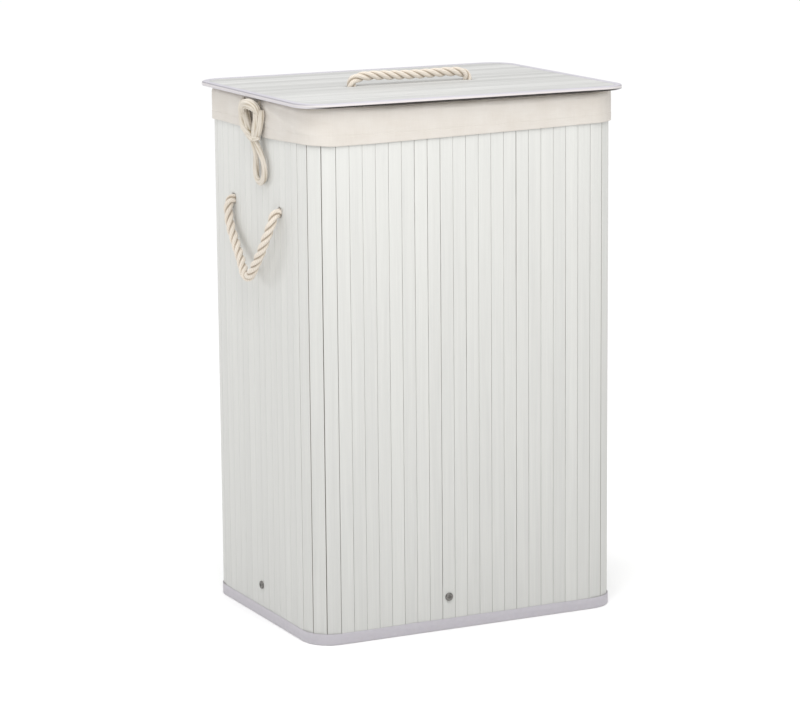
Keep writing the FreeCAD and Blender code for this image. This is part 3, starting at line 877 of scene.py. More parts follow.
@dataclass
class SlatWalls:
    """Painted slats of the four walls and corners, glued on cloth and taped at both ends."""

    line: WallLine = field(default_factory=WallLine)
    pitch: float = 17.0 * MM
    thickness: float = 2.0 * MM
    rounding: float = 0.4 * MM
    bottom: float = 0.8 * MM
    top: float = 640.4 * MM
    gap: float = 0.16 * MM
    # Joints that close up again: share of their width at the bottom, in the middle and at the top.
    tapers: dict[int, tuple[float, float, float]] = field(default_factory=lambda: {
        79: (1.4, 1.3, 0.15), 6: (0.7, 0.9, 1.9), 7: (0.7, 1.0, 1.3),
        10: (0.6, 1.5, 0.8), 14: (0.8, 0.8, 1.5),
        18: (0.8, 1.4, 0.8), 0: (1.0, 1.4, 0.7)})
    rope_hole: float = 6.25 * MM
    hole_y: float = 68.5 * MM
    hole_z: float = 514.0 * MM
    screw_hole: float = 2.05 * MM
    screw_z: float = 41.0 * MM
    front_screw_x: float = -28.3 * MM
    left_screw_y: float = 3.0 * MM
    cloth: float = 0.8 * MM
    tape: float = 0.7 * MM
    tape_height: float = 14.0 * MM
    open_joints: dict[int, float] = field(default_factory=lambda: {
        78: 0.12, 79: 0.07, 80: 0.06, 0: 0.05, 1: 0.22, 3: 0.21, 4: 0.24, 5: 0.28, 6: 0.25, 7: 0.36, 8: 0.46,
        9: 0.22, 10: 0.29, 11: 0.2, 12: 0.26, 13: 0.22, 14: 0.52, 15: 0.26, 16: 0.26,
        17: 0.25, 18: 0.3, 19: 0.24})

    def bores(self) -> list[tuple[Point, Point, float]]:
        """Holes for the ropes and screws, each as start, end and radius.

        Returns:
            Each hole's start, end and radius.
        """
        out = 0.25
        holes = [((-out, y, self.hole_z), (out, y, self.hole_z), self.rope_hole)
                 for y in (-self.hole_y, self.hole_y)]
        for side in (-1, 1):
            x, y = side * -self.front_screw_x, side * -self.left_screw_y
            holes.append(((x, side * 0.1, self.screw_z), (x, side * out, self.screw_z), self.screw_hole))
            holes.append(((side * 0.1, y, self.screw_z), (side * out, y, self.screw_z), self.screw_hole))
        return holes

    def wall_of(self, middle: np.ndarray) -> str:
        """Name of the CAD node whose slats a point belongs to.

        Args:
            middle: The point, on the ground plan.

        Returns:
            The node's name.
        """
        run_x, run_y = self.line.runs
        across, along = ("left" if middle[0] < 0 else "right"), ("front" if middle[1] < 0 else "back")
        beyond_x, beyond_y = abs(middle[0]) > run_x / 2, abs(middle[1]) > run_y / 2
        if beyond_x and beyond_y:
            return f"{along}_{across}_corner_slats"
        return (across if beyond_x else along) + "_slats"

    def build_slats(self, finishes: Finishes) -> None:
        """Build every slat, wall by wall.

        Args:
            finishes: The materials to dress it in.
        """
        rng = np.random.default_rng(SEED)
        count = round(self.line.perimeter / self.pitch)
        joints = self.line.at(np.arange(count) * self.line.perimeter / count)[0]
        levels = np.linspace(self.bottom, self.top, 44)
        gaps = []
        for index in range(count):
            width = self.open_joints.get(index, self.gap / MM) * MM
            wander = drift(rng, levels, (0.31, 0.083, 0.047))
            width = width * np.interp(levels, np.array([0.1, 0.35, 0.6]),
                                      self.tapers.get(index, (1.0, 1.0, 1.0)))
            gaps.append(np.clip(width * (1 + 0.35 * wander), 0.05 * MM, 1.4 * MM))
        shells: dict[str, Shell] = {}
        for index in range(count):
            start, end = joints[index], joints[(index + 1) % count]
            chord = end - start
            width = float(np.linalg.norm(chord))
            across = np.array([*chord / width, 0.0])
            out = np.array([across[1], -across[0], 0.0])
            # Each wall strip's tone falls by 0.75 towards the floor: painted shade.
            strip(shells.setdefault(self.wall_of((start + end) / 2), Shell()),
                  np.array([*start, 0.0]), across, out,
                  np.array([0.0, 0.0, 1.0]), gaps[index] / 2, width - gaps[(index + 1) % count] / 2,
                  lambda t: np.broadcast_to(levels[:, None], t.shape), self.thickness, self.rounding,
                  rng.uniform(-0.09, 0.09), index * 1.37, 0.75)
        for node, shell in shells.items():
            piece = shell.piece(node + "_painted", finishes.walls, 40)
            if node in ("front_slats", "back_slats", "left_slats", "right_slats"):
                drill(piece, self.bores())
            declare(piece, "hamper", "white_bamboo", node)

    def build_backing(self, finishes: Finishes) -> None:
        """Build the cloth that the slats are glued to.

        Args:
            finishes: The materials to dress it in.
        """
        count = round(self.line.perimeter / self.pitch)
        around = np.arange(count * 4) * self.line.perimeter / (count * 4)
        joints = self.line.at(np.arange(count + 1) * self.line.perimeter / count)[0]
        share = np.arange(count * 4) / 4 - np.arange(count * 4) // 4
        start, end = joints[np.arange(count * 4) // 4], joints[np.arange(count * 4) // 4 + 1]
        middle = start + (end - start) * share[:, None]
        chord = (end - start) / np.linalg.norm(end - start, axis=1)[:, None]
        out = np.stack([chord[:, 1], -chord[:, 0]], axis=1)
        levels = np.linspace(self.bottom, self.top, 40)
        outer, inner = middle - out * 0.02 * MM, middle - out * self.cloth
        rows = [np.column_stack([outer, np.full(len(outer), z)]) for z in levels]
        rows += [np.column_stack([inner, np.full(len(inner), z)]) for z in levels[::-1]]
        heights = np.concatenate([levels, levels[::-1]])
        cloth = np.stack(np.meshgrid(around, heights), axis=-1)
        cloth = np.concatenate([cloth, np.zeros((*cloth.shape[:2], 1))], axis=-1)
        shell = Shell()
        shell.grid(np.stack(rows), around=True, across=True, cloth=cloth)
        piece = shell.piece("wall_backing_cloth", finishes.backing)
        drill(piece, self.bores())
        declare(piece, "hamper", "backing_cloth", "wall_cloth")

    def build_tape(self, name: str, node: str, finishes: Finishes, upside: bool) -> None:
        """Build the tape that is folded over one end of the slats.

        Args:
            name: Name of the piece.
            node: CAD node that it stands for.
            finishes: The finishes.
            upside: Whether it is the tape over the top ends.
        """
        rng = np.random.default_rng(SEED + 1 + upside)
        count = 640
        around = np.arange(count) * self.line.perimeter / count
        proud, inner = self.thickness + 0.1 * MM, -self.cloth - 0.1 * MM
        tape, high = self.tape, self.tape_height
        profile = [(proud + tape, high - 0.5 * MM, 0), (proud + tape, 7 * MM, 0),
                   (proud + tape, 2.2 * MM, 0),
                   (proud + tape * 0.8, 0.9 * MM, 1), (proud + tape * 0.2, 0.25 * MM, 1),
                   (proud - tape, 0.0, 1),
                   (inner + tape, 0.0, 1), (inner - tape * 0.3, 0.4 * MM, 1), (inner - tape, 1.8 * MM, 0),
                   (inner - tape, high, 0), (inner, high, 0), (inner, 0.7 * MM, 0), (proud, 0.7 * MM, 0),
                   (proud, high - 0.4 * MM, 0), (proud + tape * 0.5, high, 0)]
        wave = 0.12 * MM * drift(rng, around, (0.062, 0.111, 0.27))
        edge = 0.35 * MM * drift(rng, around, (0.19, 0.087, 0.4))
        rows, cloth, fold = [], [], []
        for offset, rise, folded in profile:
            loose = wave if offset > proud - 1e-6 and rise > 3 * MM else 0.0
            level = rise + (edge if rise > 10 * MM and offset > 0 else 0.0)
            level = self.top + self.bottom - level if upside else level
            held = np.maximum(offset + loose, proud) if offset >= proud else offset
            rows.append(self.line.ring(around, held, level))
            cloth.append(np.column_stack([around, np.full(count, rise + offset), np.zeros(count)]))
            fold.append(np.full(count, float(folded)))
        shell = Shell()
        points = np.stack(rows)
        shell.grid(points if upside else points[::-1], around=True, across=True,
                   cloth=np.stack(cloth if upside else cloth[::-1]),
                   fold=np.stack(fold if upside else fold[::-1]))
        piece = shell.piece(name, finishes.tape, 60)
        declare(piece, "hamper", "edge_tape", node)

    def build(self, finishes: Finishes) -> None:
        """Build the walls.

        Args:
            finishes: The materials to dress it in.
        """
        self.build_slats(finishes)
        self.build_backing(finishes)
        self.build_tape("bottom_edge_tape", "bottom_binding", finishes, upside=False)
        self.build_tape("top_edge_tape", "top_binding", finishes, upside=True)


# ---------------------------------------------------------------- liner


@dataclass
class Liner:
    """Cotton liner: a bag inside, and its cuff folded out over the rim."""

    line: WallLine = field(default_factory=WallLine)
    thickness: float = 0.9 * MM
    rim: float = 645.2 * MM
    hem: float = 600.0 * MM
    proud: float = 3.9 * MM
    shoulder: float = 5.0 * MM
    bag_inset: float = 20.6 * MM
    floor: float = 55.0 * MM
    columns: int = 760
    # Height of the hem above its usual level, by distance round the line.
    hem_rises: tuple[tuple[float, float], ...] = (
        (0.000, 0.0002), (0.040, 0.0005), (0.155, 0.0027), (0.270, 0.0050), (0.344, 0.0068), (0.370, 0.0072),
        (0.450, 0.0050), (0.700, 0.0030), (1.000, 0.0050), (1.100, 0.0066), (1.165, 0.0060), (1.200, 0.0052),
        (1.216, 0.0044), (1.228, -0.0004), (1.270, 0.0006), (1.325, 0.0030), (1.352, 0.0014))
    # Creases: start and end as distance round and height above the hem, then width and rise.
    creases: tuple[tuple[float, float, float, float, float, float], ...] = (
        (1.236, 0.036, 1.345, 0.012, 0.0040, 0.0012), (1.238, 0.027, 1.330, 0.006, 0.0038, -0.0009),
        (1.232, 0.020, 1.290, 0.004, 0.0028, 0.0010), (1.236, 0.043, 1.371, 0.026, 0.0034, -0.0006),
        (1.160, 0.030, 1.195, 0.012, 0.0030, 0.0005), (0.020, 0.034, 0.120, 0.020, 0.0045, 0.0004),
        (0.150, 0.036, 0.260, 0.030, 0.0040, 0.0004), (0.210, 0.014, 0.330, 0.024, 0.0040, -0.0004))

    def rim_drop(self, around: np.ndarray) -> np.ndarray:
        """How far the rim's cloth lies below its highest level, round the line.

        Args:
            around: Distances round the wall line.

        Returns:
            The drop at each distance.
        """
        run_x = self.line.runs[0]
        share = np.clip((around - 6 * MM) / (60 * MM), 0, 1)
        share = share * np.clip((run_x + 30 * MM - around) / (40 * MM), 0, 1)
        after = around - (self.line.perimeter - 320 * MM)
        left = np.clip(after / (40 * MM), 0, 1) * np.clip((320 * MM - after) / (40 * MM), 0, 1)
        return 3.0 * MM * share * share * (3 - 2 * share) + 1.0 * MM * left

    def wrinkles(self, around: np.ndarray, height: np.ndarray) -> np.ndarray:
        """Outward rise of the cuff's cloth by distance round and height above its hem.

        Args:
            around: Distances round the wall line.
            height: Level of each point.

        Returns:
            The rise at each point.
        """
        rng = np.random.default_rng(SEED + 5)
        total = np.zeros_like(around)
        for _ in range(26):
            turn = rng.uniform(-0.5, 0.5)
            wavelength = rng.uniform(22, 95) * MM
            waves = round(self.line.perimeter / wavelength)
            phase = rng.random() * 2 * math.pi
            total += np.sin(2 * math.pi * waves * around / self.line.perimeter
                            + turn * height / (8 * MM) + phase) * rng.uniform(0.02, 0.075) * MM
        total *= 1 - 0.45 * np.clip((height - 25 * MM) / (20 * MM), 0, 1)
        for x0, z0, x1, z1, width, rise in self.creases:
            run = np.array([x1 - x0, z1 - z0])
            long = float(np.hypot(*run))
            run /= long
            half = self.line.perimeter / 2
            off_x = np.mod(around - x0 + half, self.line.perimeter) - half
            along = off_x * run[0] + (height - z0) * run[1]
            aside = -off_x * run[1] + (height - z0) * run[0]
            fade = np.clip(np.minimum(along, long - along) / (0.35 * long) + 0.5, 0, 1)
            total += rise * np.exp(-(aside / width) ** 2) * fade * fade * (3 - 2 * fade)
        return total

    def build_cuff(self, finishes: Finishes) -> bpy.types.Object:
        """Build the cuff, from its seam on the rim down to its sewn hem.

        Args:
            finishes: The materials to dress it in.

        Returns:
            The cuff.
        """
        around = np.arange(self.columns) * self.line.perimeter / self.columns
        drop = self.rim_drop(around)
        rises = np.array(self.hem_rises or ((0.0, 0.0),))
        hem = self.hem + np.interp(around, rises[:, 0], rises[:, 1], period=self.line.perimeter)
        top = self.rim - self.thickness / 2 - drop
        shares = np.concatenate([np.linspace(0, 0.09, 4), np.linspace(0.13, 0.27, 4), [0.285, 0.3, 0.315],
                                 np.linspace(0.36, 1, 16)])
        stitched = 0.3
        middles, ways, above = [], [], []
        for share in shares:
            level = hem + (top - self.shoulder - hem) * share
            height = level - hem
            rise = self.wrinkles(around, height)
            rise = rise - 0.2 * MM * math.exp(-((share - stitched) / 0.012) ** 2)
            rise = rise + 0.16 * MM * (1 if share < stitched else 0)
            middles.append((self.proud + rise, level))
            ways.append((1.0, 0.0))
            above.append(height)
        for turn in np.radians([18, 36, 54, 72, 90]):
            middles.append((self.proud - self.shoulder * (1 - math.cos(turn)),
                            top - self.shoulder * (1 - math.sin(turn))))
            ways.append((math.cos(turn), math.sin(turn)))
            above.append(top - hem + self.shoulder * turn)
        # The last stretch is tucked under the bag's lip, so that no gap shows at their seam.
        tuck = self.thickness * (1 - drop / (3 * MM)).clip(0, 1)
        for inset, under in ((2.2, 0.0), (2.7, 0.1), (3.2, 0.4), (3.6, 0.75), (4.2, 0.97), (5.6, 0.97)):
            middles.append((self.proud - self.shoulder - (inset - 2.2) * MM, top - under * tuck))
            ways.append((0.0, 1.0))
            above.append(top - hem + (6 + inset) * MM)
        outer, inner, marks = [], [], []
        for (offset, level), (way_out, way_up), height in zip(middles, ways, above):
            half = self.thickness / 2
            outer.append(self.line.ring(around, offset + way_out * half, level + way_up * half))
            inner.append(self.line.ring(around, offset - way_out * half, level - way_up * half))
            marks.append(np.column_stack([around, np.broadcast_to(height, around.shape),
                                          np.zeros_like(around)]))
        # The hem's fold is rounded.
        outer.insert(0, self.line.ring(around, middles[0][0], middles[0][1] - self.thickness * 0.45))
        marks.insert(0, marks[0])
        shell = Shell()
        shell.grid(np.stack(outer + inner[::-1]), around=True, across=True,
                   cloth=np.stack(marks + marks[:0:-1]))
        piece = shell.piece("liner_cuff_cloth", finishes.liner, 70)
        declare(piece, "hamper", "liner_cotton", "liner_cuff")
        return piece

    def build_hem_stitches(self, finishes: Finishes) -> bpy.types.Object:
        """Build the row of stitches that holds the cuff's hem.

        Args:
            finishes: The materials to dress it in.

        Returns:
            The stitches.
        """
        rises = np.array(self.hem_rises or ((0.0, 0.0),))
        shell = Shell()
        pitch, long = 3.4 * MM, 2.4 * MM
        count = round(self.line.perimeter / pitch)
        turns = np.arange(6) * math.pi / 3
        for index in range(count):
            at = index * self.line.perimeter / count
            line = at + np.array([-0.5, -0.3, 0.0, 0.3, 0.5]) * long
            hem = self.hem + np.interp(line, rises[:, 0], rises[:, 1], period=self.line.perimeter)
            top = self.rim - self.thickness / 2 - self.rim_drop(np.mod(line, self.line.perimeter))
            height = (top - self.shoulder - hem) * 0.3
            rise = self.wrinkles(line, height) - 0.3 * MM
            middle = self.proud + rise + self.thickness / 2
            thick = np.array([0.02, 0.16, 0.2, 0.16, 0.02]) * MM
            rows = [self.line.ring(np.full(6, a), m + t * 0.9 * np.cos(turns), z + t * np.sin(turns))
                    for a, m, z, t in zip(line, middle, hem + height, thick)]
            mark = np.zeros((5, 6, 3))
            mark[..., 0] = at
            shell.grid(np.stack(rows), around=True, caps=True, cloth=mark)
        piece = shell.piece("liner_hem_stitches", finishes.string, 80)
        return declare(piece, "hamper", "liner_cotton")

    def build_bag(self, finishes: Finishes) -> bpy.types.Object:
        """Build the bag: its flange over the rim, its walls with soft folds, and its floor.

        Args:
            finishes: The materials to dress it in.

        Returns:
            The bag.
        """
        rng = np.random.default_rng(SEED + 9)
        around = np.arange(self.columns // 2) * self.line.perimeter / (self.columns // 2)
        drop = 0.8 * self.rim_drop(around)
        top = self.rim - self.thickness / 2 - drop
        folds = [(round(rng.uniform(9, 34)), rng.random() * 6.3, rng.uniform(-1, 1), rng.uniform(0.3, 1.0))
                 for _ in range(9)]

        def sag(level: np.ndarray) -> np.ndarray:
            """Distance that the bag's wall hangs in from its rails at a height.

            Args:
                level: Height above the ground.

            Returns:
                The distance at each point round the wall.
            """
            share = np.clip((self.rim - 25 * MM - level) / (120 * MM), 0, 1)
            low = np.clip((level - self.floor) / (60 * MM), 0, 1)
            total = np.zeros_like(around)
            for waves, phase, lean, size in folds:
                total = total + size * np.sin(waves * 2 * math.pi * around / self.line.perimeter + phase
                                              + lean * level / (90 * MM))
            return (1.6 + 0.45 * total).clip(0, 5) * MM * share * (0.4 + 0.6 * low)

        rows, ways = [], []
        for inset in (0.9, 1.8, 5, 9, 13, 16):
            rows.append((np.full_like(around, -inset * MM), top))
            ways.append((0.0, 1.0))
        bend = 4 * MM
        for turn in np.radians([15, 35, 55, 75, 90]):
            rows.append((-self.bag_inset + bend * (1 - math.sin(turn)), top - bend * (1 - math.cos(turn))))
            ways.append((-math.sin(turn), math.cos(turn)))
        for share in np.linspace(0.02, 1, 34):
            level = (top - bend) + (self.floor + 5 * MM - top + bend) * share
            rows.append((-self.bag_inset - sag(level), level))
            ways.append((-1.0, 0.0))
        for turn in np.radians([25, 50, 75]):
            rows.append((-self.bag_inset - sag(np.full_like(around, self.floor))
                         - 5 * MM * (1 - math.cos(turn)),
                         self.floor + 5 * MM * (1 - math.sin(turn))))
            ways.append((-math.cos(turn), math.sin(turn)))
        face, back, marks = [], [], []
        gone = 0.0
        for index, ((offset, level), (way_out, way_up)) in enumerate(zip(rows, ways)):
            half = self.thickness / 2
            offset = np.broadcast_to(offset, around.shape)
            face.append(self.line.ring(around, offset + way_out * half, level + way_up * half))
            back.append(self.line.ring(around, offset - way_out * half, level - way_up * half))
            if index:
                gone += float(np.linalg.norm(face[-1][0] - face[-2][0]))
            marks.append(np.column_stack([around, np.full_like(around, gone), np.zeros_like(around)]))
        last = face[-1].copy()
        for share in (0.9, 0.78, 0.62, 0.45, 0.28, 0.12, 0.03):
            ripple = 0.5 * MM * drift(rng, around, (0.21, 0.13)) * share
            for side, lift in ((face, 1), (back, -1)):
                ring = last * np.array([share, share, 0.0])
                ring[:, 2] = self.floor + lift * self.thickness / 2 + np.abs(ripple)
                side.append(ring)
            marks.append(np.column_stack([face[-1][:, :2] + 3.0, np.zeros_like(around)]))
        shell = Shell()
        shell.grid(np.stack(face[::-1] + back), around=True, cloth=np.stack(marks[::-1] + marks))
        columns = len(around)
        rows_made = len(face) + len(back)
        shell.faces.append(tuple(range(columns - 1, -1, -1)))
        shell.faces.append(tuple(range((rows_made - 1) * columns, rows_made * columns)))
        piece = shell.piece("liner_bag_cloth", finishes.liner, 70)
        declare(piece, "hamper", "liner_cotton", "liner_bag")
        return piece

    def build(self, finishes: Finishes) -> None:
        """Build the liner.

        Args:
            finishes: The materials to dress it in.
        """
        cuff = self.build_cuff(finishes)
        stitches = self.build_hem_stitches(finishes)
        self.build_bag(finishes)


# ---------------------------------------------------------------- drawstring


def trefoil(middle: Point, size: Point, turn: Matrix) -> np.ndarray:
    """Middle line of an overhand knot drawn tight.

    Args:
        middle: Middle of the knot.
        size: Half its extents, along its own axes.
        turn: Rotation from its own axes.

    Returns:
        Points once round the knot, ends meeting.
    """
    t = np.linspace(0, 2 * math.pi, 150)
    shape = np.stack([(np.sin(t) + 2 * np.sin(2 * t)) / 3, (np.cos(t) - 2 * np.cos(2 * t)) / 3,
                      -np.sin(3 * t)], axis=1)
    return evenly(shape * np.array(size) @ np.array(turn.to_3x3()).T + np.array(middle), 0.8 * MM)


@dataclass
class Drawstring:
    """Drawstring tied at the cuff: a gathered roll, two strands, their knot and one hanging loop."""

    strand: float = 8.0 * MM
    near_strand: float = 7.5 * MM
    loop: float = 7.0 * MM
    far_route: tuple[Point, ...] = (
        (-0.2089, 0.0240, 0.6400), (-0.2148, 0.0215, 0.6330), (-0.2165, 0.0150, 0.6180),
        (-0.2178, 0.0030, 0.6050),
        (-0.2172, -0.0130, 0.5985))
    near_route: tuple[Point, ...] = (
        (-0.2089, -0.0180, 0.6400), (-0.2143, -0.0205, 0.6330), (-0.2160, -0.0260, 0.6170),
        (-0.2170, -0.0195, 0.5985))
    loop_route: tuple[Point, ...] = (
        (-0.2166, -0.0140, 0.5965), (-0.2145, -0.0175, 0.5830), (-0.2132, -0.0160, 0.5700),
        (-0.2125, -0.0130, 0.5560), (-0.2126, -0.0170, 0.5465), (-0.2126, -0.0300, 0.5450),
        (-0.2124, -0.0390, 0.5530), (-0.2122, -0.0370, 0.5690), (-0.2130, -0.0270, 0.5830),
        (-0.2166, -0.0210, 0.5965))
    # Gathered folds round the knot: route, diameter in the middle and share of it left at the ends.
    roll_route: tuple[Point, ...] = (
        (-0.2120, -0.0250, 0.6230), (-0.2150, -0.0280, 0.6320), (-0.2188, -0.0200, 0.6372),
        (-0.2196, -0.0030, 0.6382), (-0.2182, 0.0100, 0.6340), (-0.2160, 0.0140, 0.6220))
    fold_route: tuple[Point, ...] = (
        (-0.2120, -0.0330, 0.6320), (-0.2143, -0.0360, 0.6170), (-0.2165, -0.0260, 0.5995))
    left_fold_route: tuple[Point, ...] = (
        (-0.2130, 0.0110, 0.6300), (-0.2145, 0.0075, 0.6180), (-0.2160, -0.0035, 0.6035))
    band_route: tuple[Point, ...] = (
        (-0.2165, 0.0030, 0.6035), (-0.2195, -0.0060, 0.5990), (-0.2202, -0.0190, 0.5970),
        (-0.2160, -0.0330, 0.5985))

    def gathered(self, shell: Shell, route: Sequence[Point], diameter: float, pleats: int,
                 ends: float = 0.86, hidden: float = 0.0) -> np.ndarray:
        """Add one gathered length of cloth, pleated along its run.

        Args:
            shell: Shell that takes it.
            route: Points of its route.
            diameter: Its diameter in the middle.
            pleats: Number of pleats round it.
            ends: Share of the diameter that is left at its ends.
            hidden: Depth of the fold down its inner side, whose hollow takes painted shade.

        Returns:
            Its middle line.
        """
        line = smooth_line(route)
        long = length_of(line)

        def radius(far: np.ndarray, angle: np.ndarray) -> np.ndarray:
            """Pleated radius, drawn in towards both ends.

            Args:
                far: Distances along the cloth.
                angle: Angles round the cloth.

            Returns:
                The radius at each point.
            """
            share = np.clip(np.minimum(far, long - far) / (0.35 * long), 0, 1)
            fold = 1 + 0.075 * np.sin(pleats * angle + far / (7 * MM))
            fold = fold + 0.05 * np.sin(2 * angle + far / (5 * MM))
            # The fold pushed in here is darkened by the tube's crease mark, as painted shade.
            fold = fold - hidden * np.exp(-((angle - 1.45 * math.pi) / 0.55) ** 2)
            return diameter / 2 * fold * (ends + (1 - ends) * share * (2 - share))

        tube(shell, line, radius, 56, flat=0.85, facing=np.array([-1.0, 0.0, 0.0]))
        return line

    def build(self, finishes: Finishes) -> None:
        """Build the drawstring and declare its cords.

        Args:
            finishes: The materials to dress it in.
        """
        knot_shell = Shell()
        turn = Matrix.Rotation(math.radians(90), 3, "X") @ Matrix.Rotation(math.radians(20), 3, "Z")
        line = trefoil((-0.2168, -0.0170, 0.5980), (4.6 * MM, 3.8 * MM, 3.2 * MM), turn.to_4x4())
        tube(knot_shell, line, lambda f, a: 2.4 * MM * (1 + 0.06 * np.sin(6 * a + f / (4 * MM))), 32)
        self.gathered(knot_shell, self.roll_route, 12.0 * MM, 9, 0.5)
        self.gathered(knot_shell, self.fold_route, 8.6 * MM, 6, 0.75)
        self.gathered(knot_shell, self.left_fold_route, 11.0 * MM, 6, 0.7)
        self.gathered(knot_shell, self.band_route, 5.6 * MM, 4, 0.6)
        knot = knot_shell.piece("drawstring_tied_knot", finishes.string, 80)
        declare(knot, "hamper", "liner_cotton", "drawstring_knot")
        strands = (
            ("drawstring_far_tape", "drawstring_far_strand", self.far_route, self.strand,
             7, 0.060, "knot", [knot],
             1.4, 0.3),
            ("drawstring_near_tape", "drawstring_near_strand", self.near_route, self.near_strand,
             6, 0.045, "object", [],
             1.3, 0.0),
            ("drawstring_hanging_loop", "drawstring_loop", self.loop_route, self.loop,
             4, 0.126, "object", [], 1.12, 0.0))
        for name, node, route, diameter, pleats, long, end, pieces, wide, hidden in strands:
            shell = Shell()
            middle = self.gathered(shell, route, diameter * wide, pleats, hidden=hidden)
            piece = shell.piece(name, finishes.string, 80)
            declare(piece, "hamper", "liner_cotton", node)


# ---------------------------------------------------------------- rope handles


@dataclass
class RopeHandle:
    """Twisted rope handle whose ends go through two holes into stopper knots."""

    name: str
    parent: str
    body: str
    rope_node: str
    knots_node: str
    route: tuple[Point, ...]
    exit: Point
    length: float
    lay: str
    knot_middles: tuple[Point, Point]
    knot_turn: Matrix
    blend_from: Point
    blend_to: Point
    diameter: float = 11.0 * MM
    rope_lay: float = 42.0 * MM

    def build(self, finishes: Finishes) -> None:
        """Args:
            finishes: The materials to dress it in.
        """
        line = smooth_line(self.route)
        shell = Shell()
        twisted(shell, line, self.diameter * 1.07, self.rope_lay)
        rope = shell.piece(self.name, finishes.rope, 80)
        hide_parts(self.rope_node)
        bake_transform(rope)
        knots = Shell()
        for middle in self.knot_middles:
            twisted(knots, trefoil(middle, (6.9 * MM, 6.9 * MM, 3.6 * MM), self.knot_turn),
                    7.4 * MM, 26 * MM, 10)
        knot = knots.piece(self.name + "_knots", finishes.rope, 80)
        declare(knot, self.parent, "cotton_rope", self.knots_node)


LEFT_ROUTE: tuple[Point, ...] = (
    (-0.1960, -0.0685, 0.5140), (-0.2060, -0.0685, 0.5140), (-0.2140, -0.0695, 0.5130),
    (-0.2180, -0.0695, 0.5020), (-0.2215, -0.0630, 0.4860), (-0.2250, -0.0525, 0.4650),
    (-0.2268, -0.0400, 0.4490), (-0.2268, -0.0230, 0.4310), (-0.2240, 0.0000, 0.4290),
    (-0.2195, 0.0210, 0.4450), (-0.2160, 0.0450, 0.4620), (-0.2145, 0.0630, 0.4790),
    (-0.2142, 0.0710, 0.4960), (-0.2135, 0.0700, 0.5120), (-0.2060, 0.0685, 0.5140),
    (-0.1960, 0.0685, 0.5140))
RIGHT_ROUTE: tuple[Point, ...] = tuple((-x, -y, z) for x, y, z in LEFT_ROUTE)
LID_ROUTE: tuple[Point, ...] = (
    (-0.0800, 0.0, 0.6400), (-0.0800, 0.0, 0.6520), (-0.0760, 0.0, 0.6595), (-0.0600, 0.0, 0.6622),
    (-0.0400, 0.0, 0.6618), (-0.0130, 0.0, 0.6606), (0.0130, 0.0, 0.6604), (0.0380, 0.0, 0.6610),
    (0.0580, 0.0, 0.6612), (0.0720, 0.0, 0.6600), (0.0795, 0.0, 0.6550), (0.0800, 0.0, 0.6400))


def rope_handles() -> list[RopeHandle]:
    """The two side handles and the lid's handle.

    Returns:
        The handles, in the order they are built.
    """
    sideways = Matrix.Rotation(math.radians(90), 4, "Y")
    upright = Matrix.Identity(4)
    return [
        RopeHandle("left_rope_handle", "hamper", "left_handle", "left_handle_rope", "left_handle_knots",
                   LEFT_ROUTE,
                   (-0.207, -0.0685, 0.514), 0.249, "hanging",
                   ((-0.1964, -0.0685, 0.514), (-0.1964, 0.0685, 0.514)),
                   sideways, (-0.2072, 0, 0.5085), (-0.2140, 0, 0.4965)),
        RopeHandle("right_rope_handle", "hamper", "right_handle", "right_handle_rope", "right_handle_knots",
                   RIGHT_ROUTE, (0.207, 0.0685, 0.514), 0.249, "hanging",
                   ((0.1964, -0.0685, 0.514), (0.1964, 0.0685, 0.514)), sideways, (0.2072, 0, 0.5085),
                   (0.2140, 0, 0.4965)),
        RopeHandle("lid_rope_handle", "lid", "lid_handle", "lid_handle_rope", "lid_handle_knots", LID_ROUTE,
                   (-0.080, 0.0, 0.6504), 0.200, "taut",
                   ((-0.080, 0.0, 0.6384), (0.080, 0.0, 0.6384)), upright,
                   (0, 0, 0.6505), (0, 0, 0.6590)),
    ]


# ---------------------------------------------------------------- lid


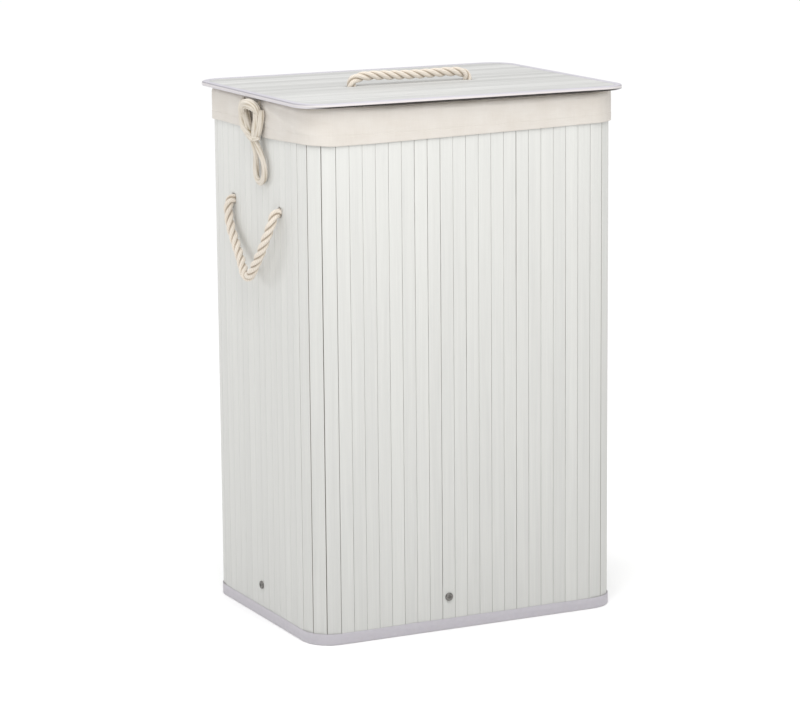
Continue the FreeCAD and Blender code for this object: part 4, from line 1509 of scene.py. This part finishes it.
@dataclass
class Lid:
    """Lift-off lid: board, lining, slats along its length, and tape round its edge."""

    half_x: float = 217.5 * MM
    half_y: float = 167.5 * MM
    corner: float = 36.0 * MM
    bottom: float = 645.6 * MM
    top: float = 651.0 * MM
    tape: float = 0.6 * MM
    tape_width: float = 9.0 * MM
    lining_bottom: float = 646.2 * MM
    slats_bottom: float = 648.6 * MM
    slat_thickness: float = 1.8 * MM
    count: int = 20
    gap: float = 0.35 * MM
    hole_x: float = 80.0 * MM
    hole: float = 6.25 * MM

    def outline(self, inset: float) -> WallLine:
        """Rounded outline inside the lid's edge by an inset."""
        return WallLine(self.half_x - inset, self.half_y - inset, max(self.corner - inset, 1 * MM))

    def bores(self) -> list[tuple[Point, Point, float]]:
        """Holes for the rope, each as start, end and radius."""
        return [((x, 0, 0.63), (x, 0, 0.66), self.hole) for x in (-self.hole_x, self.hole_x)]

    def build_slats(self, finishes: Finishes) -> None:
        """Build the strips, cut to the lid's outline.

        Args:
            finishes: The materials to dress it in.
        """
        rng = np.random.default_rng(SEED + 20)
        inset = 2 * MM
        half_y, half_x, radius = self.half_y - inset, self.half_x - inset, self.corner - inset
        pitch = 2 * half_y / self.count
        share = np.linspace(-1, 1, 40)

        def reach(y: np.ndarray) -> np.ndarray:
            """Half the lid's length at a distance from its middle line."""
            over = np.clip(np.abs(y) - (half_y - radius), 0, radius)
            return half_x - radius + np.sqrt(np.maximum(radius ** 2 - over ** 2, 0))

        shell = Shell()
        gaps = [np.clip(self.gap * (1 + 0.5 * drift(rng, share * half_x, (0.23, 0.08))), 0.1 * MM, 1 * MM)
                for _ in range(self.count + 1)]
        for index in range(self.count):
            low = -half_y + pitch * index
            left, right = gaps[index] / 2, pitch - gaps[index + 1] / 2
            strip(shell, np.array([0.0, low, self.slats_bottom]), np.array([0.0, 1.0, 0.0]),
                  np.array([0.0, 0.0, 1.0]), np.array([-1.0, 0.0, 0.0]), left, right,
                  lambda t, low=low: share[:, None] * reach(low + t), self.slat_thickness, 0.45 * MM,
                  rng.uniform(-0.1, 0.1), 200 + index * 1.91)
        piece = shell.piece("lid_slats_painted", finishes.lid, 40)
        drill(piece, self.bores())
        declare(piece, "lid", "white_bamboo", "lid_slats")

    def build_tape(self, finishes: Finishes) -> None:
        """Build the tape folded over the lid's edge.

        Args:
            finishes: The materials to dress it in.
        """
        rng = np.random.default_rng(SEED + 21)
        line = self.outline(0)
        count = 640
        around = np.arange(count) * line.perimeter / count
        wave = drift(rng, around, (0.14, 0.071, 0.33))
        # The fold is painted paler on the long sides as a highlight, and the crease darker on the short
        # sides as shade.
        normals = line.at(around)[1]
        fold_painted_light = 0.8 + 0.2 * normals[:, 1] ** 2
        crease_painted_shade = 0.8 - 0.6 * normals[:, 1] ** 2
        wide, tape, high = self.tape_width, self.tape, self.top - self.bottom
        # On the front and back the tape stops short of the lower edge, and the step below is painted near
        # black: a painted shadow in the gap.
        short = np.clip(normals[:, 1] ** 2 * 1.6 - 0.6, 0, 1)
        # Each point: offset, rise, share of the pale fold, a painted highlight, and share of the dark crease
        # above it, painted shade, which is below zero where the near-black painted gap shadow goes instead.
        profile = [(-wide, high - tape * 0.9, 0, 0), (-wide + 0.3 * MM, high - 0.05 * MM, 0, 0),
                   (-6 * MM, high, 0, 0), (-3 * MM, high, 0, 0), (-1.9 * MM, high - 0.02 * MM, 0, 0),
                   (-1.3 * MM, high - 0.2 * MM, 0, 0.5), (-0.6 * MM, high - 0.65 * MM, 0.3, 1),
                   (-0.25 * MM, high - 1.2 * MM, 0.8, 0.7), (-0.05 * MM, high - 1.8 * MM, 1, 0.1),
                   (0.0, high / 2, 1, 0), (-0.1 * MM, 2.4 * MM, 1, 0), (-0.25 * MM, 2.05 * MM, 1, 0),
                   (-0.52 * MM, 2.0 * MM, 0.5, -1), (-0.54 * MM, 0.5 * MM, 0.5, -1),
                   (-1.8 * MM, 0.05 * MM, 0.5, -1), (-4 * MM, 0.0, 0, -0.4), (-wide, 0.0, 0, 0),
                   (-wide, tape * 0.9, 0, 0), (-2 * MM, tape, 0, 0), (-tape, tape + 1.2 * MM, 0, 0),
                   (-tape, high - tape - 1.2 * MM, 0, 0), (-2 * MM, high - tape, 0, 0)]
        rows, cloth, fold, crease, bare = [], [], [], [], []
        for offset, rise, folded, painted_shade_share in profile:
            shift = 0.25 * MM * wave if offset <= -wide + 1 * MM else 0.0
            if painted_shade_share < 0 and offset > -1 * MM:
                shift = -offset * (1 - short) * 0.8
            rows.append(line.ring(around, offset + shift, self.bottom + rise))
            cloth.append(np.column_stack([around, np.full(count, offset + rise), np.zeros(count)]))
            fold.append(float(folded) * fold_painted_light)
            crease.append(max(float(painted_shade_share), 0.0) * crease_painted_shade)
            bare.append(max(-float(painted_shade_share), 0.0) * short)
        shell = Shell()
        shell.grid(np.stack(rows), around=True, across=True, cloth=np.stack(cloth), fold=np.stack(fold),
                   crease=np.stack(crease), bare=np.stack(bare))
        piece = shell.piece("lid_edge_tape", finishes.lid_tape, 60)
        declare(piece, "lid", "edge_tape", "lid_binding")

    def build_lining(self, finishes: Finishes) -> None:
        """Build the cloth under the lid's board.

        Args:
            finishes: The materials to dress it in.
        """
        rng = np.random.default_rng(SEED + 22)
        line = self.outline(1.2 * MM)
        around = np.arange(320) * line.perimeter / 320
        edge = line.ring(around, 0.0, 0.0)
        rows, cloth = [], []
        shares = [1, 0.97, 0.9, 0.8, 0.7, 0.6, 0.5, 0.4, 0.3, 0.2, 0.1, 0.03]
        for level, ways in ((self.lining_bottom + 0.38 * MM, shares[::-1]),
                            (self.lining_bottom + 0.02 * MM, shares)):
            for share in ways:
                ring = edge * share
                lower = level < self.lining_bottom + 0.1 * MM
                puff = 0.06 * MM * drift(rng, around, (0.17, 0.11)) if lower else 0.0
                ring[:, 2] = level + np.abs(puff)
                rows.append(ring)
                cloth.append(np.column_stack([ring[:, :2] + 2.0, np.zeros(len(ring))]))
        shell = Shell()
        shell.grid(np.stack(rows), around=True, caps=True, cloth=np.stack(cloth))
        piece = shell.piece("lid_lining_cloth", finishes.lining, 60)
        drill(piece, self.bores())
        declare(piece, "lid", "backing_cloth", "lid_lining")

    def build(self, finishes: Finishes) -> None:
        """Build the lid.

        Args:
            finishes: The materials to dress it in.
        """
        self.build_slats(finishes)
        self.build_tape(finishes)
        self.build_lining(finishes)


# ---------------------------------------------------------------- carried-over parts and the studio


def dress_frame(nodes: dict[str, bpy.types.Object], finishes: Finishes) -> None:
    """Give every CAD part that stays in view its finish.

    Args:
        nodes: CAD nodes by name.
        finishes: The finishes.
    """
    wanted = {
        finishes.plank_x: ("front_rim_rail", "back_rim_rail", "front_base_rail", "back_base_rail"),
        finishes.plank_y: ("left_rim_rail", "right_rim_rail", "left_base_rail", "right_base_rail",
                           "left_lid_batten", "right_lid_batten"),
        finishes.board: ("base_panel", "lid_board"),
        finishes.steel: ("base_screws", "base_panel_screws", "lid_batten_screws"),
    }
    for material, names in wanted.items():
        for name in names:
            node = nodes[name]
            if not node.material_slots:
                node.data.materials.append(material)
            for slot in node.material_slots:
                slot.material = material
            log.info("%s is dressed in %s", name, material.name)


@dataclass
class Studio:
    """Plain pale floor, soft lights and the camera."""

    yaw: float = 25.983
    pitch: float = -11.045
    roll: float = -0.509
    eye: Point = (-1.7103, -3.4753, 1.0670)
    lens: float = 142.73
    sky: float = 0.62
    overhead: float = 1.35
    overhead_angle: float = 70.0
    # Each soft box: name, place, aim, size and power.
    boxes: tuple[tuple[str, Point, Point, float, float], ...] = (
        ("front_softbox", (-0.38, -1.00, 1.38), (0.0, -0.15, 0.60), 0.9, 8.8),
        ("side_softbox", (-1.35, 1.45, 0.75), (-0.2, 0.0, 0.45), 0.5, 4.6))

    def camera(self) -> None:
        """Place the camera."""
        data = bpy.data.cameras.new("camera")
        data.lens, data.sensor_width = self.lens, 36.0
        yaw, pitch, roll = (math.radians(a) for a in (self.yaw, self.pitch, self.roll))
        forward = Vector((math.sin(yaw) * math.cos(pitch), math.cos(yaw) * math.cos(pitch), math.sin(pitch)))
        level = Vector((math.cos(yaw), -math.sin(yaw), 0))
        rise = level.cross(forward)
        right = level * math.cos(roll) + rise * math.sin(roll)
        up = rise * math.cos(roll) - level * math.sin(roll)
        turned = Matrix((right, up, -forward)).transposed().to_4x4()
        camera = bpy.data.objects.new("camera", data)
        camera.matrix_world = Matrix.Translation(self.eye) @ turned
        bpy.context.scene.collection.objects.link(camera)
        bpy.context.scene.camera = camera

    def lights(self) -> None:
        """Set an even white sky, a wide light overhead and two soft boxes, in front and at the side."""
        world = bpy.data.worlds.new("studio")
        bpy.context.scene.world = world
        world.use_nodes = True
        back = world.node_tree.nodes["Background"]
        back.inputs["Color"].default_value = (1.0, 1.0, 1.0, 1.0)
        back.inputs["Strength"].default_value = self.sky
        overhead = bpy.data.lights.new("overhead_softbox", "SUN")
        overhead.energy, overhead.angle = self.overhead, math.radians(self.overhead_angle)
        bpy.context.scene.collection.objects.link(bpy.data.objects.new("overhead_softbox", overhead))
        for name, place, aim, size, power in self.boxes:
            box = bpy.data.lights.new(name, "AREA")
            box.shape, box.size, box.energy = "SQUARE", size, power
            lamp = bpy.data.objects.new(name, box)
            lamp.location = place
            lamp.rotation_euler = (Vector(aim) - Vector(place)).to_track_quat("-Z", "Y").to_euler()
            bpy.context.scene.collection.objects.link(lamp)

    def floor(self, finishes: Finishes) -> None:
        """Lay the floor.

        Args:
            finishes: The materials to dress it in.
        """
        ways = np.linspace(-14, 14, 29)
        grid = np.stack(np.meshgrid(ways, ways), axis=-1)
        grid = np.concatenate([grid, np.zeros((29, 29, 1))], axis=-1)
        shell = Shell()
        shell.grid(grid, around=False)
        shell.piece("studio_floor", finishes.floor)

    def build(self, finishes: Finishes) -> None:
        """Build the studio.

        Args:
            finishes: The materials to dress it in.
        """
        bpy.context.scene.view_settings.view_transform = "Standard"
        self.camera()
        self.lights()
        self.floor(finishes)


def main() -> None:
    """Build every sub-assembly in order."""
    logging.basicConfig(level=logging.INFO, format="%(name)s: %(message)s")
    for thing in list(bpy.data.objects):
        bpy.data.objects.remove(thing)
    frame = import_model()
    finishes = Finishes()
    dress_frame(frame["nodes"], finishes)
    SlatWalls().build(finishes)
    Liner().build(finishes)
    Drawstring().build(finishes)
    Lid().build(finishes)
    for handle in rope_handles():
        handle.build(finishes)
    Studio().build(finishes)


if __name__ == "__main__":
    main()
